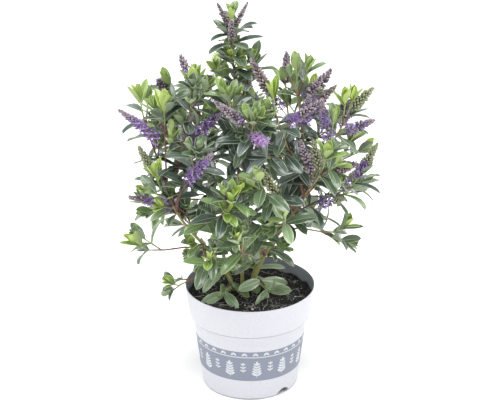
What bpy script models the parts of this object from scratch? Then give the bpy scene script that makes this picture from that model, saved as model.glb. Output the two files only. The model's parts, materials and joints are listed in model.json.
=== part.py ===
"""A flowering hebe shrub in its nursery pot, in metres, standing on z = 0.

The stems come out of the compost a little behind the pot's centre. Each shoot is one smooth line from the
limb that bears it to its own tip in the crown. The bare lower part of that line is a bough, where it is
long enough, and its leafy end is a mass of foliage: a three-sided twig with leaves in crossed pairs, side
twigs and spikes of blossom. Bearings are in degrees round the pot, from +X (the viewer's right) by +Y (the
back), and a rise is in degrees above the level.
"""
import math

import bmesh
import bpy
from mathutils import Matrix, Vector
from mathutils.bvhtree import BVHTree

for thing in list(bpy.data.objects):
    bpy.data.objects.remove(thing, do_unlink=True)

UP = Vector((0.0, 0.0, 1.0))

# Clear room between neighbours that touch in the real plant, and the seed of all that varies
GAP = 0.0004
SEED = 0.37

# Pot: a thin moulded wall with a collar under the rim, and a foot ring round a raised channel and a pad
POT_HEIGHT = 0.140
RIM_RADIUS = 0.085
RIM_ROUND = 0.0010
COLLAR_HEIGHT = 0.040
COLLAR_FOOT_RADIUS = 0.0805
STEP_HEIGHT = 0.016
WAIST_RADIUS = 0.0735
FOOT_RADIUS = 0.063
FOOT_CORNER = 0.004
FOOT_RING = 0.006
CHANNEL_HEIGHT = 0.006
CHANNEL_SLOPE = 0.001
PAD_RADIUS = 0.036
WALL = 0.0014
POT_SIDES = 34

# Drainage: two notches through the foot ring, and holes in the channel's floor
NOTCH_BEARINGS = (-46.0, 134.0)
NOTCH_WIDTH = 0.022
NOTCH_HEIGHT = 0.009
NOTCH_SIDES = 12
DRAIN_RADIUS = 0.004
DRAIN_COUNT = 6
DRAIN_SIDES = 8

# Compost: level where the stems come out of it, uneven elsewhere, clear of the pot's flat sides
SOIL_TOP = 0.1255
SOIL_RELIEF = 0.0014
SOIL_FIT = 0.0009
SOIL_SIDES = 16
SOIL_RINGS = (0.86, 0.66, 0.46, 0.24)
SOIL_WAVE_ACROSS = 150.0
SOIL_WAVE_BACK = 130.0
SOIL_RIPPLE = 0.6
ROOT_CROWN = Vector((-0.008, 0.024))
LEVEL_RADIUS = 0.026
LEVEL_EASE = 0.020

# Limbs: how far their lines bend, their radii and root flare, and the number that gives a bevel its sides
HANDLE_SHARE = 0.36
STEM_STEPS = 6
STEM_ROUNDNESS = 2
BOUGH_ROUNDNESS = 1
STEM_TIP_RADIUS = 0.0019
FLARE = 0.55
FLARE_HEIGHT = 0.012
FLARE_POWER = 1.5
FOOT_CUT_HEIGHT = 0.003
BOUGH_FOOT_RADIUS = 0.0017
BOUGH_TIP_RADIUS = 0.0012
BOUGH_STEPS = 3
SHORTEST_BOUGH = 0.028
LEAN_TO_PARENT = 0.35
FORK_ANGLE = 27.0
SHOOT_STEPS = 16
SHOOT_SWEEP = 0.6
SHOOT_RISE = 0.8

# Twigs of a mass
TWIG_FOOT_RADIUS = 0.0014
TWIG_TIP_RADIUS = 0.0009
TWIG_STEPS = 4
SIDE_TWIG_RADIUS = 0.0012
SIDE_TWIG_LENGTH = 0.030
SIDE_TWIG_VARIES = 0.012
SIDE_TWIG_PAIRS = (3, 5)
SIDE_TWIG_LOWEST = 0.019
SIDE_TWIG_OUT = 0.75
SIDE_TWIG_ALONG = 0.8
SIDE_TWIG_UP = 0.15
MAIN_PAIRS = 6
SIDE_PAIRS = 2

# Leaf pairs: their spacing from the bud down the twig, how far they open, and their size by age
BUD_REACH = 0.017
BUD_INSET = 0.0008
BUD_SPACINGS = (0.008, 0.011)
INTERNODE = 0.016
OPENINGS = (22.0, 40.0, 54.0, 64.0, 72.0)
OPENING_VARIES = 7.0
PAIR_TURN_VARIES = 12.0
LEAF_SIZES = (0.56, 0.80, 0.98, 1.05, 1.0)
SIZE_VARIES = 0.09
LEAF_LENGTH = 0.043
LEAF_WIDTH = 0.018
SMALL_LEAF_WIDTH = 0.72
LEAF_WIDEST = 0.56
LEAF_SINK = 0.035
FACE_TO_TIP = 0.7
FACE_TO_SKY = 0.5
LEAF_KEEL = 0.0012
LEAF_DROOP = 0.0024
LEAF_MARGIN = 0.00035
LEAF_TURNS = (0.0, 14.0, -14.0)
BARE_ROOT = 0.0045

# Spikes of blossom: a thin stalk, then a spindle, given as (share of its length, share of its radius)
STALK = 0.014
STALK_FOOT = 0.003
STALK_RADIUS = 0.0010
SPIKE_RADIUS = 0.0062
SPINDLE = ((0.10, 1.0), (0.45, 0.86), (0.82, 0.48), (1.0, 0.0))
SPIKE_SAG = 0.04

# Main stems: name, foot across and back, tip, way at the foot, way at the tip, radius over the flare
STEMS = (
    ("stem_left", (-0.022, 0.010), (-0.104, -0.045, 0.292), (-0.34, -0.12, 1.0), (-0.2, -0.2, 1.0), 0.0032),
    ("stem_right", (0.004, 0.026), (0.078, -0.040, 0.308), (0.26, -0.08, 1.0), (0.25, -0.25, 1.0), 0.0038),
    ("stem_middle", (-0.010, 0.022), (-0.018, 0.010, 0.396), (-0.02, 0.02, 1.0), (-0.02, 0.0, 1.0), 0.0030),
    ("stem_back_left", (-0.026, 0.036), (-0.062, 0.074, 0.320), (-0.3, 0.16, 1.0), (-0.1, 0.1, 1.0), 0.0028),
    ("stem_back_right", (0.004, 0.044), (0.058, 0.080, 0.322), (0.3, 0.14, 1.0), (0.1, 0.1, 1.0), 0.0030),
)

# Shoots: name, limb that bears it, share of that limb's length, where its top leaves reach, leafy length,
# and its spikes. A spike is the leaf pair it springs from, counted from the bud, its bearing, rise and reach.
SHOOTS = (
    ("leader", "stem_middle", 1.0, (-0.024, 0.010, 0.522), 0.110, ()),
    ("top_right", "stem_middle", 0.93, (0.006, 0.015, 0.466), 0.080, ()),
    ("top_left", "stem_middle", 0.86, (-0.048, 0.030, 0.447), 0.080, ()),
    ("front_top", "stem_middle", 0.74, (-0.027, -0.060, 0.440), 0.082, ()),
    ("front_centre", "stem_middle", 0.66, (0.005, -0.090, 0.422), 0.084,
     ((2, -166, 44, 0.062), (3, -69, 17, 0.052))),
    ("left_top", "stem_left", 1.0, (-0.109, -0.030, 0.419), 0.086, ((4, -175, 43, 0.078),)),
    ("left_high", "stem_left", 0.95, (-0.142, 0.000, 0.419), 0.090, ()),
    ("left_inner", "stem_left", 0.90, (-0.071, -0.020, 0.444), 0.092,
     ((5, 154, 9, 0.036), (5, -22, 35, 0.056))),
    ("front_shoulder", "stem_left", 0.82, (-0.062, -0.092, 0.384), 0.086, ((4, -58, 49, 0.060),)),
    ("front_left", "stem_left", 0.62, (-0.021, -0.120, 0.327), 0.082, ()),
    ("left_front", "stem_left", 0.56, (-0.120, -0.052, 0.333), 0.084,
     ((2, 145, 56, 0.060), (4, -157, 19, 0.062))),
    ("low_front", "stem_left", 0.45, (-0.052, -0.120, 0.244), 0.092, ()),
    ("low_left", "stem_left", 0.40, (-0.154, -0.020, 0.223), 0.092, ()),
    ("rim_left", "stem_left", 0.20, (-0.113, -0.030, 0.169), 0.072, ()),
    ("right_top", "stem_right", 1.0, (0.132, -0.010, 0.420), 0.086,
     ((2, 18, 44, 0.047), (3, 70, 68, 0.048), (4, -14, 31, 0.056), (5, 113, 67, 0.063))),
    ("right_inner", "stem_right", 0.90, (0.059, 0.000, 0.458), 0.098,
     ((4, -22, 59, 0.058), (5, -10, 51, 0.068), (6, -60, 76, 0.060))),
    ("right_front", "stem_right", 0.86, (0.098, -0.080, 0.370), 0.066,
     ((3, 117, 65, 0.044), (4, 133, 60, 0.056))),
    ("front_right", "stem_right", 0.84, (0.027, -0.062, 0.446), 0.086, ((1, 147, 56, 0.060),)),
    ("right_mid", "stem_right", 0.76, (0.134, 0.010, 0.359), 0.096, ((5, -12, 31, 0.054),)),
    ("front_mid", "stem_right", 0.70, (0.010, -0.110, 0.351), 0.096, ((5, 166, 62, 0.046),)),
    ("right_low", "stem_right", 0.66, (0.150, -0.010, 0.318), 0.096,
     ((2, -2, 63, 0.066), (6, -31, 24, 0.058))),
    ("front_low", "stem_right", 0.56, (0.044, -0.090, 0.290), 0.094, ()),
    ("rim_right", "stem_right", 0.50, (0.130, -0.020, 0.247), 0.086, ()),
    ("front_foot", "stem_right", 0.24, (-0.016, -0.125, 0.274), 0.084, ()),
    ("back_left_top", "stem_back_left", 1.0, (-0.108, 0.022, 0.428), 0.086, ((2, -143, 53, 0.034),)),
    ("left_back", "stem_back_left", 0.84, (-0.132, 0.062, 0.345), 0.082, ((2, 170, 40, 0.056),)),
    ("back_left", "stem_back_left", 0.66, (-0.070, 0.090, 0.410), 0.080,
     ((2, 120, 45, 0.058), (4, 30, 40, 0.052))),
    ("back_low_left", "stem_back_left", 0.64, (-0.052, 0.140, 0.305), 0.088, ((2, 100, 35, 0.056),)),
    ("left_low_back", "stem_back_left", 0.56, (-0.146, 0.050, 0.252), 0.094, ()),
    ("foot_back_left", "stem_back_left", 0.36, (-0.086, 0.112, 0.205), 0.080, ()),
    ("back_right_top", "stem_back_right", 1.0, (0.082, 0.040, 0.414), 0.086, ((2, 20, 55, 0.050),)),
    ("back_right", "stem_back_right", 0.94, (0.044, 0.112, 0.402), 0.082,
     ((2, 88, 70, 0.056), (4, 140, 40, 0.054))),
    ("right_back", "stem_back_right", 0.84, (0.118, 0.092, 0.352), 0.080, ((2, 20, 35, 0.058),)),
    ("back_mid", "stem_back_right", 0.74, (-0.004, 0.128, 0.362), 0.086, ((2, 100, 45, 0.058),)),
    ("back_low_right", "stem_back_right", 0.64, (0.046, 0.150, 0.296), 0.092, ((2, 80, 35, 0.058),)),
    ("right_low_back", "stem_back_right", 0.54, (0.146, 0.062, 0.268), 0.096, ((3, 30, 35, 0.056),)),
    ("foot_back_right", "stem_back_right", 0.36, (0.086, 0.120, 0.212), 0.084, ()),
    ("foot_left", "stem_left", 0.05, (-0.040, -0.034, 0.152), 0.050, ()),
    ("foot_right", "stem_right", 0.05, (0.034, -0.022, 0.152), 0.050, ()),
)


def material(name, colour, roughness, metallic=0.0):
    """A plain surface finish; colour is linear red, green and blue."""
    finish = bpy.data.materials.new(name)
    finish.use_nodes = True
    shader = finish.node_tree.nodes["Principled BSDF"]
    shader.inputs["Base Color"].default_value = (*colour, 1.0)
    shader.inputs["Roughness"].default_value = roughness
    shader.inputs["Metallic"].default_value = metallic
    finish.diffuse_color = (*colour, 1.0)
    return finish


POT_WHITE = material("moulded_white_plastic", (0.80, 0.81, 0.85), 0.35)
COMPOST = material("dark_compost", (0.018, 0.014, 0.012), 0.95)
BARK = material("green_brown_bark", (0.16, 0.10, 0.055), 0.6)
FOLIAGE = material("hebe_foliage", (0.055, 0.13, 0.035), 0.45)

plant = bpy.data.collections.new("hebe_shrub")
cutters = bpy.data.collections.new("cutters")
bpy.context.scene.collection.children.link(plant)
bpy.context.scene.collection.children.link(cutters)


# Modelling helpers

def place(name, mesh, finish, collection=plant):
    """An object for this mesh, with its finish, in its collection."""
    piece = bpy.data.objects.new(name, mesh)
    collection.objects.link(piece)
    mesh.materials.clear()
    mesh.materials.append(finish)
    return piece


def hide(piece):
    """Keep a cutter or a guide out of the model."""
    piece.hide_render = True
    piece.display_type = "WIRE"
    return piece


def evaluated_mesh(piece):
    """A new mesh of the object as its modifiers and bevels make it."""
    graph = bpy.context.evaluated_depsgraph_get()
    return bpy.data.meshes.new_from_object(piece.evaluated_get(graph))


def settle(piece):
    """Apply an object's modifiers to its mesh."""
    mesh = evaluated_mesh(piece)
    piece.modifiers.clear()
    piece.data = mesh
    return piece


def finished(name, shape):
    """Turn a bmesh into a mesh whose faces point out."""
    bmesh.ops.recalc_face_normals(shape, faces=shape.faces)
    mesh = bpy.data.meshes.new(name)
    shape.to_mesh(mesh)
    shape.free()
    return mesh


def turned(name, profile, sides, finish):
    """A body turned round Z from a profile of (radius, height) that runs down its outer side."""
    mesh = bpy.data.meshes.new(name)
    points = [(radius, 0.0, height) for radius, height in profile]
    mesh.from_pydata(points, [(index, index + 1) for index in range(len(points) - 1)], [])
    piece = place(name, mesh, finish)
    screw = piece.modifiers.new("Turn", "SCREW")
    screw.steps = sides
    screw.render_steps = sides
    screw.use_smooth_shade = False
    screw.use_merge_vertices = True
    screw.merge_threshold = 0.00001
    return piece


def cut(piece, cutter):
    """Add a cut by this cutter."""
    modifier = piece.modifiers.new(cutter.name, "BOOLEAN")
    modifier.operation = "DIFFERENCE"
    modifier.solver = "EXACT"
    modifier.object = cutter


def tube(name, line, radii, finish, collection, roundness=None):
    """A solid limb along a line: round where a roundness is given, and three-sided where none is."""
    curve = bpy.data.curves.new(name, "CURVE")
    curve.dimensions = "3D"
    curve.use_fill_caps = True
    if roundness is None:
        curve.bevel_mode = "OBJECT"
        curve.bevel_object = twig_section
    else:
        curve.bevel_depth = 1.0
        curve.bevel_resolution = roundness
    spline = curve.splines.new("POLY")
    spline.points.add(len(line) - 1)
    for point, at, radius in zip(spline.points, line, radii):
        point.co = (*at, 1.0)
        point.radius = radius
    carrier = bpy.data.objects.new(name, curve)
    collection.objects.link(carrier)
    shape = bmesh.new()
    shape.from_mesh(evaluated_mesh(carrier))
    shape.transform(carrier.matrix_world)
    bpy.data.objects.remove(carrier, do_unlink=True)
    bmesh.ops.remove_doubles(shape, verts=shape.verts, dist=0.000001)
    return place(name, finished(name, shape), finish, collection)


def three_sided_section():
    """The three-cornered section that a twig carries along its line: a closed guide curve of unit radius."""
    curve = bpy.data.curves.new("twig_section", "CURVE")
    curve.dimensions = "2D"
    spline = curve.splines.new("POLY")
    spline.points.add(2)
    for index, point in enumerate(spline.points):
        angle = math.radians(120.0 * index)
        point.co = (math.cos(angle), math.sin(angle), 0.0, 1.0)
    spline.use_cyclic_u = True
    guide = bpy.data.objects.new("twig_section", curve)
    cutters.objects.link(guide)
    return hide(guide)


# Pot and compost

def arc(centre, radius, start, end, steps):
    """Points of an arc in the profile plane, with its angles in degrees."""
    points = []
    for step in range(steps + 1):
        angle = math.radians(start + (end - start) * step / steps)
        points.append((centre[0] + radius * math.cos(angle), centre[1] + radius * math.sin(angle)))
    return points


def inner_wall():
    """The pot's inside from the middle of its floor to the rim, as (radius, height)."""
    floor = CHANNEL_HEIGHT + WALL
    collar_foot = POT_HEIGHT - COLLAR_HEIGHT
    return [
        (0.0, WALL),
        (PAD_RADIUS - WALL, WALL),
        (PAD_RADIUS, floor),
        (FOOT_RADIUS - WALL, floor),
        (WAIST_RADIUS - WALL, collar_foot - STEP_HEIGHT),
        (COLLAR_FOOT_RADIUS - WALL, collar_foot),
        (RIM_RADIUS - WALL, POT_HEIGHT - RIM_ROUND),
    ]


def outer_wall():
    """The pot's rim and outside down to the foot's rounded corner, as (radius, height)."""
    collar_foot = POT_HEIGHT - COLLAR_HEIGHT
    corner_centre = (FOOT_RADIUS - FOOT_CORNER, FOOT_CORNER)
    return [
        (RIM_RADIUS - WALL / 2, POT_HEIGHT),
        (RIM_RADIUS, POT_HEIGHT - RIM_ROUND),
        (COLLAR_FOOT_RADIUS, collar_foot),
        (WAIST_RADIUS + WALL, collar_foot - STEP_HEIGHT / 2),
        (WAIST_RADIUS, collar_foot - STEP_HEIGHT),
    ] + arc(corner_centre, FOOT_CORNER, 0.0, -90.0, 2)


def underside():
    """From the foot ring up into the channel and down to the flat pad in the middle."""
    ring_inside = FOOT_RADIUS - FOOT_RING
    return [
        (ring_inside, 0.0),
        (ring_inside - CHANNEL_SLOPE, CHANNEL_HEIGHT),
        (PAD_RADIUS + CHANNEL_SLOPE, CHANNEL_HEIGHT),
        (PAD_RADIUS, 0.0),
        (0.0, 0.0),
    ]


def notch_cutter(name, bearing):
    """A round-topped bar along the bearing, through the foot ring only."""
    shape = bmesh.new()
    turn = Matrix.Rotation(math.radians(bearing), 4, "Z")
    lie = Matrix.Translation((FOOT_RADIUS - FOOT_RING / 2, 0.0, 0.0)) @ Matrix.Rotation(math.pi / 2, 4, "Y")
    squeeze = Matrix.Diagonal((NOTCH_HEIGHT, NOTCH_WIDTH / 2, 1.0, 1.0))
    bmesh.ops.create_cone(shape, cap_ends=True, segments=NOTCH_SIDES, radius1=1.0, radius2=1.0,
                          depth=FOOT_RING * 2, matrix=turn @ lie @ squeeze)
    return hide(place(name, finished(name, shape), POT_WHITE, cutters))


def drain_cutter(name, bearing):
    """A rod up through the channel's floor."""
    shape = bmesh.new()
    middle = (PAD_RADIUS + FOOT_RADIUS - FOOT_RING) / 2
    angle = math.radians(bearing)
    stand = Matrix.Translation((middle * math.cos(angle), middle * math.sin(angle), CHANNEL_HEIGHT))
    bmesh.ops.create_cone(shape, cap_ends=True, segments=DRAIN_SIDES, radius1=DRAIN_RADIUS,
                          radius2=DRAIN_RADIUS, depth=WALL * 6, matrix=stand)
    return hide(place(name, finished(name, shape), POT_WHITE, cutters))


def make_pot():
    """The pot: a turned wall and floor, cut by the notches and the drain holes."""
    pot = turned("pot", inner_wall() + outer_wall() + underside(), POT_SIDES, POT_WHITE)
    settle(pot)
    for index, bearing in enumerate(NOTCH_BEARINGS):
        cut(pot, notch_cutter("notch_%d" % index, bearing))
    for index in range(DRAIN_COUNT):
        cut(pot, drain_cutter("drain_%d" % index, 360.0 * (index + 0.5) / DRAIN_COUNT))
    return settle(pot)


def make_soil():
    """The compost: the pot's inside, a fit smaller, with an uneven top that is level round the stems."""
    rise = (SOIL_TOP - (POT_HEIGHT - COLLAR_HEIGHT)) / COLLAR_HEIGHT
    top_radius = COLLAR_FOOT_RADIUS + (RIM_RADIUS - COLLAR_FOOT_RADIUS) * rise - WALL - SOIL_FIT
    side = [(max(radius - SOIL_FIT, 0.0), height + GAP) for radius, height in inner_wall()[:-1]]
    rings = [(top_radius, SOIL_TOP)] + [(top_radius * share, SOIL_TOP) for share in SOIL_RINGS]
    profile = list(reversed(side + rings + [(0.0, SOIL_TOP)]))
    soil = settle(turned("soil", profile, SOIL_SIDES, COMPOST))
    for vertex in soil.data.vertices:
        if vertex.co.z > SOIL_TOP - GAP:
            across, back = vertex.co.x, vertex.co.y
            away = (vertex.co.to_2d() - ROOT_CROWN).length - LEVEL_RADIUS
            ease = min(max(away / LEVEL_EASE, 0.0), 1.0)
            wave = math.sin(across * SOIL_WAVE_ACROSS + 1.0) * math.cos(back * SOIL_WAVE_BACK)
            wave += SOIL_RIPPLE * math.sin(back * SOIL_WAVE_BACK * 2.0)
            vertex.co.z += SOIL_RELIEF * ease * wave
    return soil


# Rules of growth

def chance(*keys):
    """A seeded number from 0 to 1 for these keys: the fraction of a large multiple of a sine, key by key."""
    value = SEED
    for key in keys:
        value = math.sin(value * 12.9898 + key * 78.233) * 43758.5453
        value -= math.floor(value)
    return value


def spread(size, *keys):
    """A seeded number from -size to +size."""
    return size * (2.0 * chance(*keys) - 1.0)


def bent_line(start, start_way, end, end_way, steps):
    """Points of a cubic curve from start to end, whose two handles are a share of the straight way."""
    reach = (end - start).length * HANDLE_SHARE
    first = start + start_way.normalized() * reach
    second = end - end_way.normalized() * reach
    points = []
    for step in range(steps + 1):
        t = step / steps
        u = 1.0 - t
        points.append(start * u**3 + first * (3 * u * u * t) + second * (3 * u * t * t) + end * t**3)
    return points


class Limb:
    """A tapering limb: a line of points with a radius at its foot and one at its tip."""

    def __init__(self, name, line, foot_radius, tip_radius):
        self.name = name
        self.line = line
        self.foot_radius = foot_radius
        self.tip_radius = tip_radius
        self.marks = [0.0]
        for near, far in zip(line, line[1:]):
            self.marks.append(self.marks[-1] + (far - near).length)
        self.length = self.marks[-1]

    def at(self, distance):
        """The point on the line at this distance from its foot, and the line's way there."""
        index = 0
        while index < len(self.line) - 2 and distance > self.marks[index + 1]:
            index += 1
        near, far = self.line[index], self.line[index + 1]
        share = min(max((distance - self.marks[index]) / (far - near).length, 0.0), 1.0)
        return near.lerp(far, share), (far - near).normalized()

    def radius(self, distance):
        return self.foot_radius + (self.tip_radius - self.foot_radius) * distance / self.length

    def radii(self):
        return [self.radius(mark) for mark in self.marks]

    def stretch(self, name, start, end, steps, foot_radius, tip_radius):
        """The part of this line from start to end, as a limb of its own."""
        line = [self.at(start + (end - start) * step / steps)[0] for step in range(steps + 1)]
        return Limb(name, line, foot_radius, tip_radius)


def leave(parent, share, aim, radius):
    """Where a limb of this radius starts on its parent, just clear of it, and the way it sets out.

    At the parent's tip it grows on from the end face. Elsewhere it forks off by FORK_ANGLE at least.
    """
    point, parent_way = parent.at(parent.length * share)
    way = (parent_way * LEAN_TO_PARENT + (aim - point).normalized()).normalized()
    angle = parent_way.angle(way)
    if share == 1.0:
        return point + way * (GAP + radius * math.sin(angle)) / math.cos(angle), way
    angle = max(angle, math.radians(FORK_ANGLE))
    side = (way - parent_way * way.dot(parent_way)).normalized()
    way = parent_way * math.cos(angle) + side * math.sin(angle)
    bark = parent.radius(parent.length * share)
    return point + way * (bark + GAP + radius * math.cos(angle)) / math.sin(angle), way


def pair_stations(twig):
    """Where leaf pairs sit on a twig, bud first: a dictionary of distances from the twig's foot."""
    stations = {}
    distance = twig.length - BUD_INSET
    while distance > BARE_ROOT:
        stations[len(stations)] = distance
        spacing = BUD_SPACINGS + (INTERNODE,)
        distance -= spacing[min(len(stations) - 1, len(BUD_SPACINGS))]
    return stations


def pair_ways(twig, distance, index, key):
    """A leaf pair's point, the twig's way there, and the pair's two ways, crossed with the next pair's."""
    point, axis = twig.at(distance)
    turn = math.radians(90.0 * (index % 2) + 360.0 * chance(key, 1) + spread(PAIR_TURN_VARIES, key, index, 2))
    side = Matrix.Rotation(turn, 3, axis) @ axis.orthogonal().normalized()
    ways = []
    for sense in (1.0, -1.0):
        opening = OPENINGS[min(index, len(OPENINGS) - 1)] + spread(OPENING_VARIES, key, index, 3 + sense)
        angle = math.radians(opening)
        ways.append(axis * math.cos(angle) + side * sense * math.sin(angle))
    return point, axis, ways


def blade_frame(way, lift):
    """Across, out of the blade and along, for a blade that points this way with its face turned to lift."""
    along = way.normalized()
    out = (lift - along * lift.dot(along)).normalized()
    return out.cross(along), out, along


def leaf_shape(root, way, lift, length, width, margin=0.0, bare=0.0):
    """A leaf as a six-faced boat: a unit bipyramid laid along its way, with two edges and a keel below.

    Its root is at the bottom pole and its drooping tip at the top pole. The ring's first corner is the
    keel, and the other two are the edges, a little above the line from root to tip.
    """
    across, out, along = blade_frame(way, lift)
    shape = bmesh.new()
    bmesh.ops.create_uvsphere(shape, u_segments=3, v_segments=2, radius=1.0)
    for vertex in shape.verts:
        x, y, z = vertex.co
        if z > 0.5:
            vertex.co = root + along * (length + margin) - out * LEAF_DROOP
        elif z < -0.5:
            vertex.co = root + along * bare
        else:
            side = y / math.sin(math.radians(120.0)) * (width / 2 + margin)
            deep = x * (LEAF_KEEL + margin)
            vertex.co = root + along * length * LEAF_WIDEST + across * side - out * deep
    return shape


def spike_shape(root, way, reach, margin=0.0):
    """A spike of blossom: a four-sided spindle, fullest near its base, on a thin stalk.

    The rings of a unit ball, foot first, are moved to the stalk's foot and top and along the spindle.
    """
    across, out, along = blade_frame(way, way.orthogonal())
    rings = [(0.0, 0.0), (STALK_FOOT, STALK_RADIUS), (STALK, STALK_RADIUS)]
    rings += [(STALK + (reach - STALK) * run, SPIKE_RADIUS * full) for run, full in SPINDLE]
    last = len(rings) - 1
    shape = bmesh.new()
    bmesh.ops.create_uvsphere(shape, u_segments=4, v_segments=last, radius=1.0)
    for vertex in shape.verts:
        ring = round(math.acos(max(-1.0, min(1.0, -vertex.co.z))) / math.pi * last)
        run, full = rings[ring]
        flat = vertex.co.to_2d().normalized() if 0 < ring < last else Vector((0.0, 0.0))
        sag = UP * SPIKE_SAG * run * run / reach
        vertex.co = root + along * run + (across * flat.x + out * flat.y) * (full + margin) - sag
    return shape


class Space:
    """What is taken so far: each piece's surface, the ball that holds it, and its owner."""

    def __init__(self):
        self.pieces = []

    @staticmethod
    def measure(shape):
        centre = sum((vertex.co for vertex in shape.verts), Vector()) / len(shape.verts)
        reach = max((vertex.co - centre).length for vertex in shape.verts)
        return centre, reach, BVHTree.FromBMesh(shape)

    def take(self, shape, owner):
        self.pieces.append((*self.measure(shape), owner))

    def take_object(self, piece, owner):
        shape = bmesh.new()
        shape.from_mesh(piece.data)
        self.take(shape, owner)
        shape.free()

    def free(self, shape, owner, kin=False):
        """True where the shape touches nothing of another owner, or for kin, nothing of its own."""
        centre, reach, tree = self.measure(shape)
        for other_centre, other_reach, other_tree, other_owner in self.pieces:
            if (other_owner == owner) == kin and (centre - other_centre).length < reach + other_reach:
                if tree.overlap(other_tree):
                    return False
        return True


def grow_leaf(owner, key, axil, index, sense):
    """A leaf at this axil, turned a little where it would touch a neighbour, or none."""
    point, axis, ways = axil
    varied = 1.0 + spread(SIZE_VARIES, key, index, sense + 5.0)
    size = LEAF_SIZES[min(index, len(LEAF_SIZES) - 1)] * varied
    length = LEAF_LENGTH * size
    width = LEAF_WIDTH * (SMALL_LEAF_WIDTH + (1.0 - SMALL_LEAF_WIDTH) * size)
    lift = axis * FACE_TO_TIP + UP * FACE_TO_SKY
    for turn in LEAF_TURNS:
        heading = Matrix.Rotation(math.radians(turn), 3, axis) @ ways[sense]
        heading = (heading - UP * LEAF_SINK * min(index, 3)).normalized()
        wider = leaf_shape(point, heading, lift, length, width, margin=LEAF_MARGIN)
        blade = leaf_shape(point, heading, lift, length, width, bare=BARE_ROOT)
        if space.free(wider, owner) and blades.free(blade, owner, kin=True):
            leaf = leaf_shape(point, heading, lift, length, width)
            space.take(leaf, owner)
            blades.take(blade, owner)
            return [leaf]
    return []


def grow_spike(owner, point, bearing, rise, reach):
    """A spike on its stalk, or none where it would touch a neighbour."""
    level = Vector((math.cos(math.radians(bearing)), math.sin(math.radians(bearing)), 0.0))
    way = (level + UP * math.tan(math.radians(rise))).normalized()
    if not space.free(spike_shape(point, way, reach, margin=LEAF_MARGIN), owner):
        return []
    spike = spike_shape(point, way, reach)
    space.take(spike, owner)
    blades.take(spike, owner)
    return [spike]


def side_twigs(stem, key):
    """A mass's side twigs, from one axil of each chosen pair, as (key, twig)."""
    twigs = []
    for index, distance in pair_stations(stem).items():
        if index in SIDE_TWIG_PAIRS and distance > SIDE_TWIG_LOWEST:
            point, axis, ways = pair_ways(stem, distance, index, key)
            outward = ways[0] if chance(key, index, 9) < 0.5 else ways[1]
            way = (outward * SIDE_TWIG_OUT + axis * SIDE_TWIG_ALONG + UP * SIDE_TWIG_UP).normalized()
            end = point + way * (SIDE_TWIG_LENGTH + SIDE_TWIG_VARIES * chance(key, index, 8))
            twigs.append((key + index, Limb("twig", [point, end], SIDE_TWIG_RADIUS, TWIG_TIP_RADIUS)))
    return twigs


# Joining a mass into one solid

def keep_one_body(mesh):
    """Drop loose scraps and the shells of sealed hollows, which are smaller than the mass's outer surface."""
    shape = bmesh.new()
    shape.from_mesh(mesh)
    waiting = set(shape.verts)
    bodies = []
    while waiting:
        body = [waiting.pop()]
        for vertex in body:
            for edge in vertex.link_edges:
                other = edge.other_vert(vertex)
                if other in waiting:
                    waiting.remove(other)
                    body.append(other)
        bodies.append(body)
    bodies.sort(key=len)
    scraps = [vertex for body in bodies[:-1] for vertex in body]
    bmesh.ops.delete(shape, geom=scraps, context="VERTS")
    shape.to_mesh(mesh)
    shape.free()


def join_mass(trunk, twigs, shapes):
    """Join a mass's twigs, leaves and spikes onto its stem by one union."""
    bits = bpy.data.collections.new(trunk.name + "_bits")
    bpy.context.scene.collection.children.link(bits)
    for twig in twigs:
        bits.objects.link(twig)
    for shape in shapes:
        place("bit", finished("bit", shape), FOLIAGE, bits)
    union = trunk.modifiers.new("Join", "BOOLEAN")
    union.operation = "UNION"
    union.operand_type = "COLLECTION"
    union.collection = bits
    union.solver = "EXACT"
    settle(trunk)
    for bit in list(bits.objects):
        bpy.data.objects.remove(bit, do_unlink=True)
    bpy.data.collections.remove(bits)
    keep_one_body(trunk.data)


# Making: pot and compost
twig_section = three_sided_section()
space = Space()
blades = Space()
space.take_object(make_pot(), "pot")
space.take_object(make_soil(), "soil")

# Making: stems, each from a flat cut at the compost to its tip
limbs = {}
for name, foot, tip, foot_way, tip_way, radius in STEMS:
    cut_face = Vector((*foot, SOIL_TOP + GAP))
    ways = Vector(foot_way), Vector(tip_way)
    line = bent_line(cut_face + UP * FOOT_CUT_HEIGHT, ways[0], Vector(tip), ways[1], STEM_STEPS)
    stem = Limb(name, [cut_face] + line, radius, STEM_TIP_RADIUS)
    swelling = [1.0 + FLARE * max(0.0, 1.0 - mark / FLARE_HEIGHT) ** FLARE_POWER for mark in stem.marks]
    radii = [radius * swell for radius, swell in zip(stem.radii(), swelling)]
    space.take_object(tube(name, stem.line, radii, BARK, plant, STEM_ROUNDNESS), name)
    limbs[name] = stem

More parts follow.
